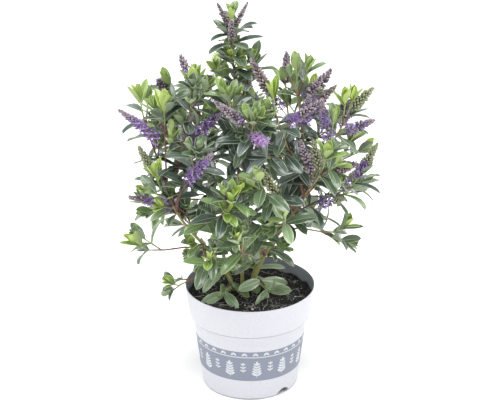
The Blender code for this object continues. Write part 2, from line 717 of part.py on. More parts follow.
# Making: boughs, and the three-sided stem of each mass
masses = []
for order, (name, parent_name, share, top, leafy, spikes) in enumerate(SHOOTS):
    parent = limbs[parent_name]
    start, way = leave(parent, share, Vector(top), BOUGH_FOOT_RADIUS)
    end_way = (way * SHOOT_SWEEP + UP * SHOOT_RISE).normalized()
    end = Vector(top) - end_way * BUD_REACH
    line = bent_line(start, way, end, end_way, SHOOT_STEPS)
    shoot = Limb(name, line, BOUGH_FOOT_RADIUS, TWIG_TIP_RADIUS)
    bare = shoot.length - leafy
    if bare >= SHORTEST_BOUGH:
        bough = shoot.stretch("bough_" + name, 0.0, bare, BOUGH_STEPS, BOUGH_FOOT_RADIUS, BOUGH_TIP_RADIUS)
        piece = tube(bough.name, bough.line, bough.radii(), BARK, plant, BOUGH_ROUNDNESS)
        space.take_object(piece, bough.name)
        foot = bare + GAP
        stem = shoot.stretch(name, foot, shoot.length, TWIG_STEPS, TWIG_FOOT_RADIUS, TWIG_TIP_RADIUS)
    else:
        start, way = leave(parent, share, end, TWIG_FOOT_RADIUS)
        line = bent_line(start, way, end, end_way, TWIG_STEPS)
        stem = Limb(name, line, TWIG_FOOT_RADIUS, TWIG_TIP_RADIUS)
    trunk = tube("foliage_" + name, stem.line, stem.radii(), FOLIAGE, plant)
    space.take_object(trunk, name)
    masses.append((name, order * 10.0, stem, trunk, spikes))

# Making: side twigs, then spikes, then leaves from the buds inward, each where there is room for it
twig_pieces = {name: [] for name, *_ in masses}
leafy_twigs = {name: [(key, stem, MAIN_PAIRS)] for name, key, stem, _, _ in masses}
shapes = {name: [] for name, *_ in masses}
for name, key, stem, trunk, spikes in masses:
    for twig_key, twig in side_twigs(stem, key):
        piece = tube("twig", twig.line, twig.radii(), FOLIAGE, cutters)
        shape = bmesh.new()
        shape.from_mesh(piece.data)
        if space.free(shape, name):
            space.take(shape, name)
            cutters.objects.unlink(piece)
            twig_pieces[name].append(piece)
            leafy_twigs[name].append((twig_key, twig, SIDE_PAIRS))
        else:
            bpy.data.objects.remove(piece, do_unlink=True)
        shape.free()
for name, key, stem, trunk, spikes in masses:
    for pair, bearing, rise, reach in spikes:
        distance = pair_stations(stem).get(pair)
        if distance is not None:
            shapes[name] += grow_spike(name, stem.at(distance)[0], bearing, rise, reach)
for index in range(MAIN_PAIRS):
    for name, twigs in leafy_twigs.items():
        for twig_key, twig, pairs in twigs:
            distance = pair_stations(twig).get(index)
            if distance is not None and index < pairs:
                axil = pair_ways(twig, distance, index, twig_key)
                for sense in (0, 1):
                    shapes[name] += grow_leaf(name, twig_key, axil, index, sense)

# Making: each mass joined into one solid
for name, key, stem, trunk, spikes in masses:
    join_mass(trunk, twig_pieces[name], shapes[name])
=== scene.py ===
"""A flowering hebe shrub in its white nursery pot, in metres, standing on z = 0.

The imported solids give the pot, the stems and the reach of every mass of foliage. Each of them is replaced
here by finer pieces, which grow from the same named sizes by the same rule. Bearings are in degrees round
the pot, from +X (the viewer's right) by +Y (the back), and a rise is in degrees above the level.
"""
import json
import math

import bpy
import numpy as np
from mathutils import Matrix, Vector

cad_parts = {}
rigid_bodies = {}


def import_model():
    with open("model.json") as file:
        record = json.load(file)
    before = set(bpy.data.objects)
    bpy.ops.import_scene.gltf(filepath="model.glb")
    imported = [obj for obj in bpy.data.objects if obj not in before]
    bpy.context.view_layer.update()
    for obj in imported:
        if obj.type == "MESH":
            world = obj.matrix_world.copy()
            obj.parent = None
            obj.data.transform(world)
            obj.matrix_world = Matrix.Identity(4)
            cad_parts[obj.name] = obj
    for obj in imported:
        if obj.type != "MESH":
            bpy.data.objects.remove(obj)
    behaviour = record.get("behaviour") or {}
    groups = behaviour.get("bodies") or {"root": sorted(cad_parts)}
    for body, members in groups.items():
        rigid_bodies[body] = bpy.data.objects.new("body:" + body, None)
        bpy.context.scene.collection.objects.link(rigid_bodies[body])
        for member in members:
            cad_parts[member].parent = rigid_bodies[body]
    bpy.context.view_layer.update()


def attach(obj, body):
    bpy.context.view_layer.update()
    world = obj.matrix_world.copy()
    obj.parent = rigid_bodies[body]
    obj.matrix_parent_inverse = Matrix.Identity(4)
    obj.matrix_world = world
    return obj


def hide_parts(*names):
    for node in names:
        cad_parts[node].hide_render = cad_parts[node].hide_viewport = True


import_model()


# Pot
# A thin nursery pot, injection-moulded in polypropylene with a white outside and a slate grey inside. The
# collar stiffens the rim. Two notches through the foot ring and six holes in its channel let water out.
POT_HEIGHT = 0.140
RIM_RADIUS = 0.085
COLLAR_HEIGHT = 0.040
COLLAR_FOOT_RADIUS = 0.0805
STEP_HEIGHT = 0.016
STEP_POWER = 2.2
STEP_EDGE = 0.0005
STEP_ROWS = 11
GROOVE_DEPTH = 0.0018
GROOVE_LIP = 0.0010
WAIST_RADIUS = 0.0735
FOOT_RADIUS = 0.063
FOOT_CORNER = 0.004
FOOT_RING = 0.006
CHANNEL_HEIGHT = 0.006
CHANNEL_SLOPE = 0.001
PAD_RADIUS = 0.036
WALL = 0.0014
FLOOR_CORNER = 0.001
ARC_ROWS = 9
POT_SIDES = 192
NOTCH_BEARINGS = (-46.0, 134.0)
NOTCH_WIDTH = 0.022
NOTCH_HEIGHT = 0.009
DRAIN_RADIUS = 0.004
DRAIN_COUNT = 6
CUTTER_SIDES = 32
COLLAR_FOOT = POT_HEIGHT - COLLAR_HEIGHT
WAIST = COLLAR_FOOT - STEP_HEIGHT
# The share of a noise that carries the gloss from one value to the other, and the narrower one for the colour
GLOSS_RANGE = (0.3, 0.7)
COLOUR_RANGE = (0.38, 0.62)


def linear(colour):
    """Linear red, green, blue and full alpha from an sRGB hex colour, by the standard curve per channel."""
    channels = np.array([int(colour[start:start + 2], 16) / 255 for start in (1, 3, 5)])
    return (*np.where(channels <= 0.04045, channels / 12.92, ((channels + 0.055) / 1.055) ** 2.4), 1.0)


def wire(finish, kind, inputs, **settings):
    """Add one node to a finish, with its settings, and set each input to a value or link it to an output."""
    added = finish.node_tree.nodes.new(kind)
    for name, value in settings.items():
        setattr(added, name, value)
    for name, value in inputs.items():
        if isinstance(value, bpy.types.NodeSocket):
            finish.node_tree.links.new(value, added.inputs[name])
        else:
            added.inputs[name].default_value = value
    return added


def surface(name, colour, rough, grain, relief, other=None, **sockets):
    """A finish from sizes in millimetres: a noise as wide as the grain lifts the surface by the relief, and
    carries the roughness between its two values and the colour between its two hex values."""
    finish = bpy.data.materials.new(name)
    finish.use_nodes = True
    links = finish.node_tree.links
    shader = finish.node_tree.nodes["Principled BSDF"]
    shader.inputs["Base Color"].default_value = linear(colour)
    for socket, value in sockets.items():
        shader.inputs[socket.replace("_", " ")].default_value = value
    place = wire(finish, "ShaderNodeTexCoord", {})
    noise = wire(finish, "ShaderNodeTexNoise", {"Vector": place.outputs["Object"], "Scale": 1000.0 / grain,
                                                "Detail": 3.0, "Roughness": 0.55})
    height = noise.outputs["Fac"]
    gloss = wire(finish, "ShaderNodeMapRange",
                 {"Value": height, "From Min": GLOSS_RANGE[0], "From Max": GLOSS_RANGE[1],
                  "To Min": rough[0], "To Max": rough[1]})
    links.new(gloss.outputs["Result"], shader.inputs["Roughness"])
    bump = wire(finish, "ShaderNodeBump", {"Height": height, "Distance": relief / 1000.0})
    links.new(bump.outputs["Normal"], shader.inputs["Normal"])
    if other:
        blend = wire(finish, "ShaderNodeMapRange",
                     {"Value": height, "From Min": COLOUR_RANGE[0], "From Max": COLOUR_RANGE[1]})
        # The mix node keeps a socket for each kind of value: 0 is the share, 6 and 7 the two colours
        mix = wire(finish, "ShaderNodeMix", {0: blend.outputs["Result"], 6: linear(colour), 7: linear(other)},
                   data_type="RGBA")
        links.new(mix.outputs[2], shader.inputs["Base Color"])
    return finish


def quads(rows, columns, wrap_rows=False):
    """Corner numbers of a grid's four-sided faces, rows by columns, whose last column meets its first. A face
    runs along the rows first, so that it looks along (way of the rows) x (way of the columns)."""
    row = np.arange(rows if wrap_rows else rows - 1)[:, None]
    column = np.arange(columns)[None, :]
    after, beside = (row + 1) % rows, (column + 1) % columns
    corners = ((row, column), (after, column), (after, beside), (row, beside))
    return np.stack([down * columns + along for down, along in corners], axis=-1).reshape(-1, 4)


def turned(profile, sides):
    """A profile of (radius, height), from the axis to the axis, turned round Z: a ring for each point between
    its ends, and one point at each end."""
    radius, height = np.array(profile[1:-1]).T
    angle = 2.0 * np.pi * np.arange(sides) / sides
    rings = np.stack([radius[:, None] * np.cos(angle), radius[:, None] * np.sin(angle),
                      np.repeat(height[:, None], sides, axis=1)], axis=-1)
    poles = [(0.0, 0.0, profile[0][1]), (0.0, 0.0, profile[-1][1])]
    points = np.concatenate([rings.reshape(-1, 3), poles])
    here = np.arange(sides)
    beside = (here + 1) % sides
    last = (len(radius) - 1) * sides
    first_pole = np.full(sides, len(points) - 2)
    fan = np.stack([first_pole, here, beside], axis=-1)
    other_fan = np.stack([last + here, first_pole + 1, last + beside], axis=-1)
    return points, fan, quads(len(radius), sides), other_fan


def new_piece(name, points, faces, finishes, uv=None, sharp=40.0):
    """A mesh object at the origin from arrays. faces is a list of (corner numbers, finish numbers), with as
    many corners for all the faces of one array. Edges that bend by more than sharp degrees stay crisp."""
    corners = [np.asarray(group, np.int32) for group, _ in faces]
    flat = np.concatenate([group.ravel() for group in corners])
    sizes = np.concatenate([np.full(len(group), group.shape[1]) for group in corners])
    numbers = np.concatenate([np.broadcast_to(number, len(group)) for group, number in faces])
    mesh = bpy.data.meshes.new(name)
    mesh.vertices.add(len(points))
    mesh.vertices.foreach_set("co", np.asarray(points, np.float32).ravel())
    mesh.loops.add(len(flat))
    mesh.loops.foreach_set("vertex_index", flat)
    mesh.polygons.add(len(sizes))
    mesh.polygons.foreach_set("loop_start", np.concatenate([[0], np.cumsum(sizes)[:-1]]).astype(np.int32))
    mesh.polygons.foreach_set("material_index", numbers.astype(np.int32))
    mesh.update(calc_edges=True)
    if uv is not None:
        mesh.uv_layers.new(name="place").uv.foreach_set("vector", uv[flat].astype(np.float32).ravel())
    for finish in finishes:
        mesh.materials.append(finish)
    mesh.shade_smooth()
    mesh.set_sharp_from_angle(angle=math.radians(sharp))
    piece = bpy.data.objects.new(name, mesh)
    bpy.context.scene.collection.objects.link(piece)
    return piece


def step_radius(rise):
    """The pot's radius on the step under the collar, at this share of the step's height."""
    return WAIST_RADIUS + (COLLAR_FOOT_RADIUS - WAIST_RADIUS) * rise ** STEP_POWER


def pot_profile():
    """The pot's wall from the middle of its floor up the inside, over the rim and down to the middle of the
    underside. The step under the collar follows a power of the height, with a fine groove at its top. A row
    just past each end of the step keeps its edges crisp, and rim and foot are arcs."""
    rise = np.linspace(0.0, 1.0 - GROOVE_LIP / STEP_HEIGHT, STEP_ROWS)
    step = np.append(step_radius(rise), COLLAR_FOOT_RADIUS - GROOVE_DEPTH)
    levels = np.append(WAIST + STEP_HEIGHT * rise, COLLAR_FOOT)
    edges = np.array([WAIST - STEP_EDGE, COLLAR_FOOT + STEP_EDGE])
    edge_radii = np.interp(edges, (FOOT_CORNER, WAIST, COLLAR_FOOT, POT_HEIGHT),
                           (FOOT_RADIUS, WAIST_RADIUS, COLLAR_FOOT_RADIUS, RIM_RADIUS))
    levels = np.concatenate([edges[:1], levels, edges[1:]])
    step = np.concatenate([edge_radii[:1], step, edge_radii[1:]])
    floor = CHANNEL_HEIGHT + WALL
    inside = [(0.0, WALL), (PAD_RADIUS - WALL, WALL), (PAD_RADIUS, floor),
              (FOOT_RADIUS - WALL - FLOOR_CORNER, floor), (FOOT_RADIUS - WALL, floor + FLOOR_CORNER)]
    inside += list(zip(step - WALL, levels))
    half = WALL / 2
    over = np.radians(np.linspace(180.0, 0.0, ARC_ROWS))
    rim = list(zip(RIM_RADIUS - half + half * np.cos(over), POT_HEIGHT - half + half * np.sin(over)))
    bend = np.radians(np.linspace(0.0, -90.0, ARC_ROWS))
    foot = list(zip(FOOT_RADIUS - FOOT_CORNER + FOOT_CORNER * np.cos(bend),
                    FOOT_CORNER + FOOT_CORNER * np.sin(bend)))
    ring_inside = FOOT_RADIUS - FOOT_RING
    under = [(ring_inside, 0.0), (ring_inside - CHANNEL_SLOPE, CHANNEL_HEIGHT),
             (PAD_RADIUS + CHANNEL_SLOPE, CHANNEL_HEIGHT), (PAD_RADIUS, 0.0), (0.0, 0.0)]
    outside = list(zip(step[::-1], levels[::-1]))
    return inside + rim + outside + foot + under, len(inside) + len(rim) // 2


def bar(start, end, across, up):
    """A closed bar from start to end with an oval section, whose two half axes are across and up."""
    angle = -2.0 * np.pi * np.arange(CUTTER_SIDES) / CUTTER_SIDES
    oval = np.cos(angle)[:, None] * np.array(across) + np.sin(angle)[:, None] * np.array(up)
    points = np.concatenate([np.array(start) + oval, np.array(end) + oval])
    ends = np.array([np.arange(CUTTER_SIDES), CUTTER_SIDES + np.arange(CUTTER_SIDES)[::-1]])
    return points, [(quads(2, CUTTER_SIDES), 0), (ends, 0)]


# Moulded polypropylene: a satin sheen that breaks up a little where the mould's surface shows
pot_white = surface("white_moulded_polypropylene", "#bdbec4", (0.34, 0.46), 2.5, 0.012, "#b8b9bf")
# The same plastic's slate inner layer, duller, with dust from the compost
pot_grey = surface("slate_moulded_polypropylene", "#8e939e", (0.42, 0.62), 1.6, 0.03, "#9a9ea7")

profile, rim_row = pot_profile()
points, fan, sides, other_fan = turned(profile, POT_SIDES)
grey_faces = (rim_row - 1) * POT_SIDES
pot_faces = [(fan, 1), (sides[:grey_faces], 1), (sides[grey_faces:], 0), (other_fan, 0)]
pot = new_piece("pot_wall", points, pot_faces, [pot_white, pot_grey])
cutters = []
for bearing in NOTCH_BEARINGS:
    out = np.array([math.cos(math.radians(bearing)), math.sin(math.radians(bearing)), 0.0])
    side = np.array([-out[1], out[0], 0.0])
    middle = FOOT_RADIUS - FOOT_RING / 2
    cutters.append(bar(out * (middle - FOOT_RING), out * (middle + FOOT_RING), side * NOTCH_WIDTH / 2,
                       (0.0, 0.0, NOTCH_HEIGHT)))
for index in range(DRAIN_COUNT):
    angle = 2.0 * math.pi * (index + 0.5) / DRAIN_COUNT
    middle = (PAD_RADIUS + FOOT_RADIUS - FOOT_RING) / 2 * np.array([math.cos(angle), math.sin(angle), 0.0])
    cutters.append(bar(middle, middle + (0.0, 0.0, CHANNEL_HEIGHT + WALL * 3), (DRAIN_RADIUS, 0.0, 0.0),
                       (0.0, DRAIN_RADIUS, 0.0)))
for number, (points, faces) in enumerate(cutters):
    cutter = new_piece("cutter_%d" % number, points, faces, [pot_white])
    cut = pot.modifiers.new("cut", "BOOLEAN")
    cut.operation = "DIFFERENCE"
    cut.solver = "EXACT"
    cut.object = cutter
cut_mesh = bpy.data.meshes.new_from_object(pot.evaluated_get(bpy.context.evaluated_depsgraph_get()))
pot.modifiers.clear()
pot.data = cut_mesh
cut_mesh.name = "pot_wall"
for thing in [thing for thing in bpy.data.objects if thing.name.startswith("cutter_")]:
    bpy.data.objects.remove(thing, do_unlink=True)
cut_mesh.set_sharp_from_angle(angle=math.radians(40.0))
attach(pot, "root")
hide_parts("pot")


# Print round the pot
# A slate band and a narrow strip, printed in one ink on the lower wall with the plain wall left bare between
# them. The leaf sprigs are wall that the ink leaves free, so they are as white as the pot.
BAND = (0.0300, 0.0660)
STRIP = (0.0675, 0.0752)
INK = 0.00012
WHITE_PROUD = 0.00020
SUNK = 0.00010
SPRIGS = 12
SPRIG_HEIGHT = 0.027
SPRIG_PAIRS = 5
SPRIG_PLACE = 0.42
SPRIG_STALK = (0.86, 0.0011)
SPRIG_TIP = (0.0062, 0.0030)
SPRIG_TIP_FOOT = 0.78
SPRIG_LEAF = (0.0082, 0.0032)
SPRIG_LEAF_LESS = (0.0007, 0.0002)
SPRIG_LEAN = 0.95
SMALL_SPRIG = 0.62
SMALL_SPRIG_PLACE = 0.62
STRIP_LEAVES = 62
STRIP_LEAF = (0.0062, 0.0027)
STRIP_LEAN = 0.75
STRIP_INSET = 0.0014
# Half of a printed leaf's outline: shares of its length, and of its half width there
MARK_RUN = (0.0, 0.12, 0.3, 0.52, 0.74, 0.9, 1.0)
MARK_SIDE = (0.0, 0.5, 0.86, 1.0, 0.8, 0.42, 0.0)


def on_wall(bearing, height, proud):
    """Points on the pot's lower wall: its radius at that height, plus proud, at a bearing in radians."""
    radius = np.interp(height, [FOOT_CORNER, WAIST], [FOOT_RADIUS, WAIST_RADIUS]) + proud
    level = np.broadcast_to(height, radius.shape)
    return np.stack([radius * np.cos(bearing), radius * np.sin(bearing), level], axis=-1)


def hoop(low, high):
    """A thin ring of ink: its four-cornered section, sunk in the wall at the back, turned round the pot."""
    height = np.array([low, low, high, high])[::-1, None]
    proud = np.array([-SUNK, INK, INK, -SUNK])[:, None]
    bearing = 2.0 * np.pi * np.arange(POT_SIDES)[None, :] / POT_SIDES
    points = on_wall(bearing + 0.0 * height, height + 0.0 * bearing, proud + 0.0 * bearing)
    return points.reshape(-1, 3), quads(4, POT_SIDES, wrap_rows=True)


def stamped(marks):
    """Leaf-shaped marks, each given as (bearing, height, lean, length, width): one outline of twelve points,
    leaned and moved on the wall, as a flat face in front, one behind and a rim between them."""
    bearing, height, lean, length, width = np.array(marks).T[:, :, None]
    run = np.array(MARK_RUN + MARK_RUN[-2:0:-1])[None, :]
    side = np.concatenate([MARK_SIDE, -np.array(MARK_SIDE)[-2:0:-1]])[None, :]
    right = length * run * np.sin(lean) + side * width / 2 * np.cos(lean)
    up = length * run * np.cos(lean) - side * width / 2 * np.sin(lean)
    outline = bearing + right / on_wall(0.0 * height, height, 0.0)[..., :1][..., 0]
    count, corners = right.shape
    front = on_wall(outline, height + up, WHITE_PROUD)
    back = on_wall(outline, height + up, -SUNK)
    points = np.concatenate([front, back], axis=1).reshape(-1, 3)
    start = np.arange(count)[:, None] * corners * 2
    here = np.arange(corners)[None, :]
    beside = (here + 1) % corners
    rims = np.stack([start + here, start + beside, start + corners + beside, start + corners + here], axis=-1)
    backs = start + corners + here[:, ::-1]
    return points, [(start + here, 0), (backs, 0), (rims.reshape(-1, 4)[:, ::-1], 0)]


# Screen-printing ink: flatter than the plastic, with the faint mottle of a rolled film
slate_ink = surface("slate_printed_ink", "#727886", (0.45, 0.6), 0.9, 0.006, "#797f8d")
bare_white = surface("white_wall_left_bare", "#bdbec4", (0.36, 0.46), 2.5, 0.01)

band_hoop, strip_hoop = hoop(*BAND), hoop(*STRIP)
points = np.concatenate([band_hoop[0], strip_hoop[0]])
faces = np.concatenate([band_hoop[1], strip_hoop[1] + len(band_hoop[0])])
band = new_piece("pot_print_band", points, [(faces, 0)], [slate_ink])
marks = []
for sprig in range(SPRIGS * 2):
    small = sprig % 2
    scale = SMALL_SPRIG if small else 1.0
    pairs = SPRIG_PAIRS - 2 * small
    height = SPRIG_HEIGHT * scale
    centre = math.radians(-90.0 + 360.0 * (sprig + 0.5) / (SPRIGS * 2))
    foot = BAND[0] + (BAND[1] - BAND[0] - height) * (SMALL_SPRIG_PLACE if small else SPRIG_PLACE)
    marks.append((centre, foot, 0.0, height * SPRIG_STALK[0], SPRIG_STALK[1]))
    marks.append((centre, foot + height * SPRIG_TIP_FOOT, 0.0, SPRIG_TIP[0] * scale, SPRIG_TIP[1] * scale))
    for pair in range(pairs):
        level = foot + height * (0.16 + 0.60 * pair / (pairs - 1))
        length, width = ((most - less * pair) * scale for most, less in zip(SPRIG_LEAF, SPRIG_LEAF_LESS))
        marks += [(centre, level, lean, length, width) for lean in (-SPRIG_LEAN, SPRIG_LEAN)]
for index in range(STRIP_LEAVES):
    lean = STRIP_LEAN if index % 2 else -STRIP_LEAN
    marks.append((2.0 * math.pi * index / STRIP_LEAVES, STRIP[0] + STRIP_INSET, lean, *STRIP_LEAF))
points, faces = stamped(marks)
sprigs = new_piece("pot_print_sprigs", points, faces, [bare_white])
for piece in (band, sprigs):
    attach(piece, "root")


# Compost
# Dark peat compost with bark crumbs, a few pale fibres, grit and one pink pebble. It fills the pot to 14 mm
# under its rim and has settled level round the stems, uneven elsewhere.
SOIL_TOP = 0.1255
SOIL_RELIEF = 0.0014
SOIL_FIT = 0.0009
SOIL_LIFT = 0.0004
SOIL_WAVE_ACROSS = 150.0
SOIL_WAVE_BACK = 130.0
SOIL_RIPPLE = 0.6
SOIL_SIDES = 144
SOIL_RINGS = 52
ROOT_CROWN = (-0.008, 0.024)
LEVEL_RADIUS = 0.026
LEVEL_EASE = 0.020
CLOD_HEIGHT = 0.00022
# Waves that make the clods: radians a metre across and back, and a shift. Their crests are 4 to 7 mm apart.
CLODS = ((900.0, 260.0, 0.3), (-420.0, 820.0, 1.9), (640.0, -700.0, 4.1), (1300.0, 900.0, 2.2),
         (-1100.0, 1250.0, 5.0))
CRUMBS = 5600
CRUMB_LEAST = 0.0004
CRUMB_VARIES = 0.0013
CRUMB_POWER = 2.6
CRUMB_SUNK = 0.15
CRUMB_CLEAR = 0.0008
# The kinds of crumb are numbered as their finishes below, peat and bark first, and the shares add up in the
# same order
DRY, SPLINTER, GRIT, PEBBLE = range(2, 6)
CRUMB_SHARES = (0.46, 0.74, 0.90, 0.97)
# The few stones that show: place across and back, half width and kind
STONES = (
    (0.0026, -0.0498, 0.0037, PEBBLE), (0.0590, -0.0116, 0.0030, GRIT), (-0.0523, -0.0234, 0.0017, GRIT),
    (0.0436, 0.0123, 0.0016, GRIT), (0.0300, -0.0400, 0.0015, GRIT),
)
STONE_PROUD = 0.0008
FIBRES = 300
FIBRE_LENGTH = (0.005, 0.019)
FIBRE_BEND = 1.1
FIBRE_RADIUS = (0.00014, 0.00032)
FIBRE_CLEAR = 0.011
FIBRE_PROUD = 0.0005
FIBRE_ARCH = 0.0007
FIBRE_KINDS = (DRY, SPLINTER, SPLINTER, GRIT, SPLINTER)
COLLAR_SPREAD = (RIM_RADIUS - COLLAR_FOOT_RADIUS) * (SOIL_TOP - COLLAR_FOOT) / COLLAR_HEIGHT
SOIL_RADIUS = COLLAR_FOOT_RADIUS + COLLAR_SPREAD - WALL - SOIL_FIT

random = np.random.default_rng(37)


def soil_height(across, back):
    """The compost's height: the source's long waves, eased in away from the stems, plus the clods."""
    away = np.hypot(across - ROOT_CROWN[0], back - ROOT_CROWN[1]) - LEVEL_RADIUS
    ease = np.clip(away / LEVEL_EASE, 0.0, 1.0)
    wave = np.sin(across * SOIL_WAVE_ACROSS + 1.0) * np.cos(back * SOIL_WAVE_BACK)
    wave = wave + SOIL_RIPPLE * np.sin(back * SOIL_WAVE_BACK * 2.0)
    clods = sum(np.sin(across * wide + back * deep + shift) for wide, deep, shift in CLODS)
    return SOIL_TOP + SOIL_RELIEF * ease * wave + CLOD_HEIGHT * clods


def crumbs(places, sizes):
    """Angular crumbs: an eight-faced lump at each place, its six corners stretched and turned at random."""
    corners = np.array([(1, 0, 0), (0, 1, 0), (-1, 0, 0), (0, -1, 0), (0, 0, 1), (0, 0, -1)], float)
    count = len(places)
    lumps = corners * random.uniform(0.5, 1.15, (count, 6, 1)) + random.normal(0.0, 0.12, (count, 6, 3))
    flatter = [np.ones(count), random.uniform(0.5, 1.0, count), random.uniform(0.35, 0.8, count)]
    x, y, z = np.moveaxis(lumps * np.stack(flatter, axis=-1)[:, None, :], -1, 0)
    turn = random.uniform(0.0, 2.0 * np.pi, count)[:, None]
    tip = random.normal(0.0, 0.35, count)[:, None]
    y, z = y * np.cos(tip) - z * np.sin(tip), y * np.sin(tip) + z * np.cos(tip)
    x, y = x * np.cos(turn) - y * np.sin(turn), x * np.sin(turn) + y * np.cos(turn)
    points = places[:, None, :] + np.stack([x, y, z], axis=-1) * sizes[:, None, None]
    around = np.array([(0, 1), (1, 2), (2, 3), (3, 0)])
    upper = np.column_stack([around, np.full(4, 4)])
    lower = np.column_stack([around[:, ::-1], np.full(4, 5)])
    faces = np.concatenate([upper, lower]) + 6 * np.arange(count)[:, None, None]
    return points.reshape(-1, 3), faces.reshape(-1, 3)


def carried(line, radii, sides):
    """A round section carried along a line: across and out are square to the line's way at each point, both
    from one fixed side, and a ring is the point plus its radius times (cosine x across + sine x out)."""
    line = np.asarray(line, float)
    way = np.gradient(line, axis=0)
    way /= np.linalg.norm(way, axis=1, keepdims=True)
    fixed = np.eye(3)[np.argmin(np.abs(way).sum(axis=0))]
    across = np.cross(way, fixed)
    across /= np.linalg.norm(across, axis=1, keepdims=True)
    out = np.cross(across, way)
    angle = 2.0 * np.pi * np.arange(sides) / sides
    radii = np.broadcast_to(np.asarray(radii, float).reshape(len(line), -1), (len(line), sides))
    ring = np.cos(angle)[:, None] * across[:, None] + np.sin(angle)[:, None] * out[:, None]
    rings = line[:, None] + radii[..., None] * ring
    here = np.arange(sides)[None, :]
    return rings.reshape(-1, 3), quads(len(line), sides), [here, (len(line) - 1) * sides + here[:, ::-1]]


def joined(shapes):
    """One shape from several (points, [(faces, numbers), ...]): each one's corners move on past the rest."""
    points, faces, start = [], {}, 0
    for shape_points, groups in shapes:
        points.append(shape_points)
        for corners, numbers in groups:
            kept = faces.setdefault(corners.shape[1], ([], []))
            kept[0].append(corners + start)
            kept[1].append(np.broadcast_to(numbers, len(corners)))
        start += len(shape_points)
    groups = [(np.concatenate(corners), np.concatenate(numbers)) for corners, numbers in faces.values()]
    return np.concatenate(points), groups


# Moist peat: almost black, rough, with browner and greyer crumbs in it
peat = surface("moist_peat", "#1a1a19", (0.85, 1.0), 1.8, 0.5, "#2a2929")
crumb_finishes = [surface(*kind) for kind in (
    ("peat_crumb", "#201f1f", (0.8, 1.0), 0.8, 0.15), ("bark_crumb", "#383635", (0.75, 0.95), 0.8, 0.15),
    ("dry_crumb", "#575453", (0.8, 1.0), 0.8, 0.15), ("wood_splinter", "#a8a299", (0.7, 0.9), 0.6, 0.1),
    ("pale_grit", "#d3d1ca", (0.5, 0.8), 0.5, 0.08), ("pink_pebble", "#c9b0ac", (0.5, 0.7), 1.2, 0.08))]

floor = CHANNEL_HEIGHT + WALL + SOIL_LIFT
side_line = [(0.0, floor), (FOOT_RADIUS - WALL - SOIL_FIT, floor)]
for rise in (0.0, 0.4, 0.7, 0.85):
    side_line.append((step_radius(rise) - WALL - SOIL_FIT, WAIST + STEP_HEIGHT * rise))
side_line.append((COLLAR_FOOT_RADIUS - WALL - SOIL_FIT, COLLAR_FOOT + STEP_EDGE))
top_line = [(radius, SOIL_TOP) for radius in np.linspace(SOIL_RADIUS, 0.0, SOIL_RINGS)]
points, fan, sides, other_fan = turned((side_line + top_line)[::-1], SOIL_SIDES)
top = points[:, 2] > SOIL_TOP - 0.0001
points[top, 2] = soil_height(points[top, 0], points[top, 1])
compost = new_piece("compost", points, [(fan, 0), (sides, 0), (other_fan, 0)], [peat], sharp=180.0)

bearing = random.uniform(0.0, 2.0 * np.pi, CRUMBS)
radius = (SOIL_RADIUS - CRUMB_CLEAR) * np.sqrt(random.uniform(0.0, 1.0, CRUMBS))
sizes = CRUMB_LEAST + CRUMB_VARIES * random.uniform(0.0, 1.0, CRUMBS) ** CRUMB_POWER
across, back = (radius - sizes) * np.cos(bearing), (radius - sizes) * np.sin(bearing)
places = np.stack([across, back, soil_height(across, back) + sizes * CRUMB_SUNK], axis=-1)
lump_points, lump_faces = crumbs(places, sizes)
kinds = np.searchsorted(CRUMB_SHARES, random.uniform(0.0, 1.0, CRUMBS))
across, back, stone_sizes, stone_kinds = np.array(STONES).T
stones = np.stack([across, back, soil_height(across, back) + STONE_PROUD], axis=-1)
stone_points, stone_faces = crumbs(stones, stone_sizes)
shapes = [(lump_points, [(lump_faces, np.repeat(kinds, 8))]),
          (stone_points, [(stone_faces, np.repeat(stone_kinds.astype(int), 8))])]
for fibre in range(FIBRES):
    length = random.uniform(*FIBRE_LENGTH)
    turn = random.uniform(0.0, 2.0 * np.pi)
    bend = random.normal(0.0, FIBRE_BEND)
    reach = (SOIL_RADIUS - FIBRE_CLEAR) * math.sqrt(random.uniform(0.0, 1.0))
    start = random.uniform(0.0, 2.0 * np.pi)
    run = np.linspace(-0.5, 0.5, 6)
    across = reach * math.cos(start) + length * run * np.cos(turn + bend * run)
    back = reach * math.sin(start) + length * run * np.sin(turn + bend * run)
    height = soil_height(across, back) + FIBRE_PROUD + FIBRE_ARCH * np.cos(run * np.pi)
    radii = np.interp(run, (-0.5, 0.0, 0.5), (0.6, 1.0, 0.5)) * random.uniform(*FIBRE_RADIUS)
    points, faces, caps = carried(np.stack([across, back, height], axis=-1), radii, 4)
    kind = FIBRE_KINDS[fibre % len(FIBRE_KINDS)]
    shapes.append((points, [(faces, kind), (np.concatenate(caps), kind)]))
points, faces = joined(shapes)
crumb_piece = new_piece("compost_crumbs", points, faces, crumb_finishes, sharp=20.0)
for piece in (compost, crumb_piece):
    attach(piece, "root")
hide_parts("soil")


# Main stems
# Five woody stems from one root crown. The bark is smooth and olive low down and red-brown above, with a
# raised ring at each old leaf pair, and the foot of each stem flares a little into the compost.
GAP = 0.0004
SEED = 0.37
UP = Vector((0.0, 0.0, 1.0))
HANDLE_SHARE = 0.36
STEM_STEPS = 6
STEM_ROWS = 48
STEM_ROW_SPACING = 0.0011
STEM_SIDES = 14
STEM_TIP_RADIUS = 0.0019
FLARE = 0.30
FLARE_HEIGHT = 0.012
FLARE_POWER = 1.5
FOOT_CUT_HEIGHT = 0.003
FOOT_SUNK = 0.004
RING_SPACING = 0.0135
FIRST_RING = 0.012
FIRST_RING_VARIES = 0.004
RING_HEIGHT = 0.00032
RING_WIDTH = 0.0011
RIB_DEPTH = 0.05
BARK_FIT = 0.82
OLIVE_BELOW = 0.215
BROWN_ABOVE = 0.262
TONE_SHIFT = 0.012
OLIVE_BARK, RED_BARK = 0, 2
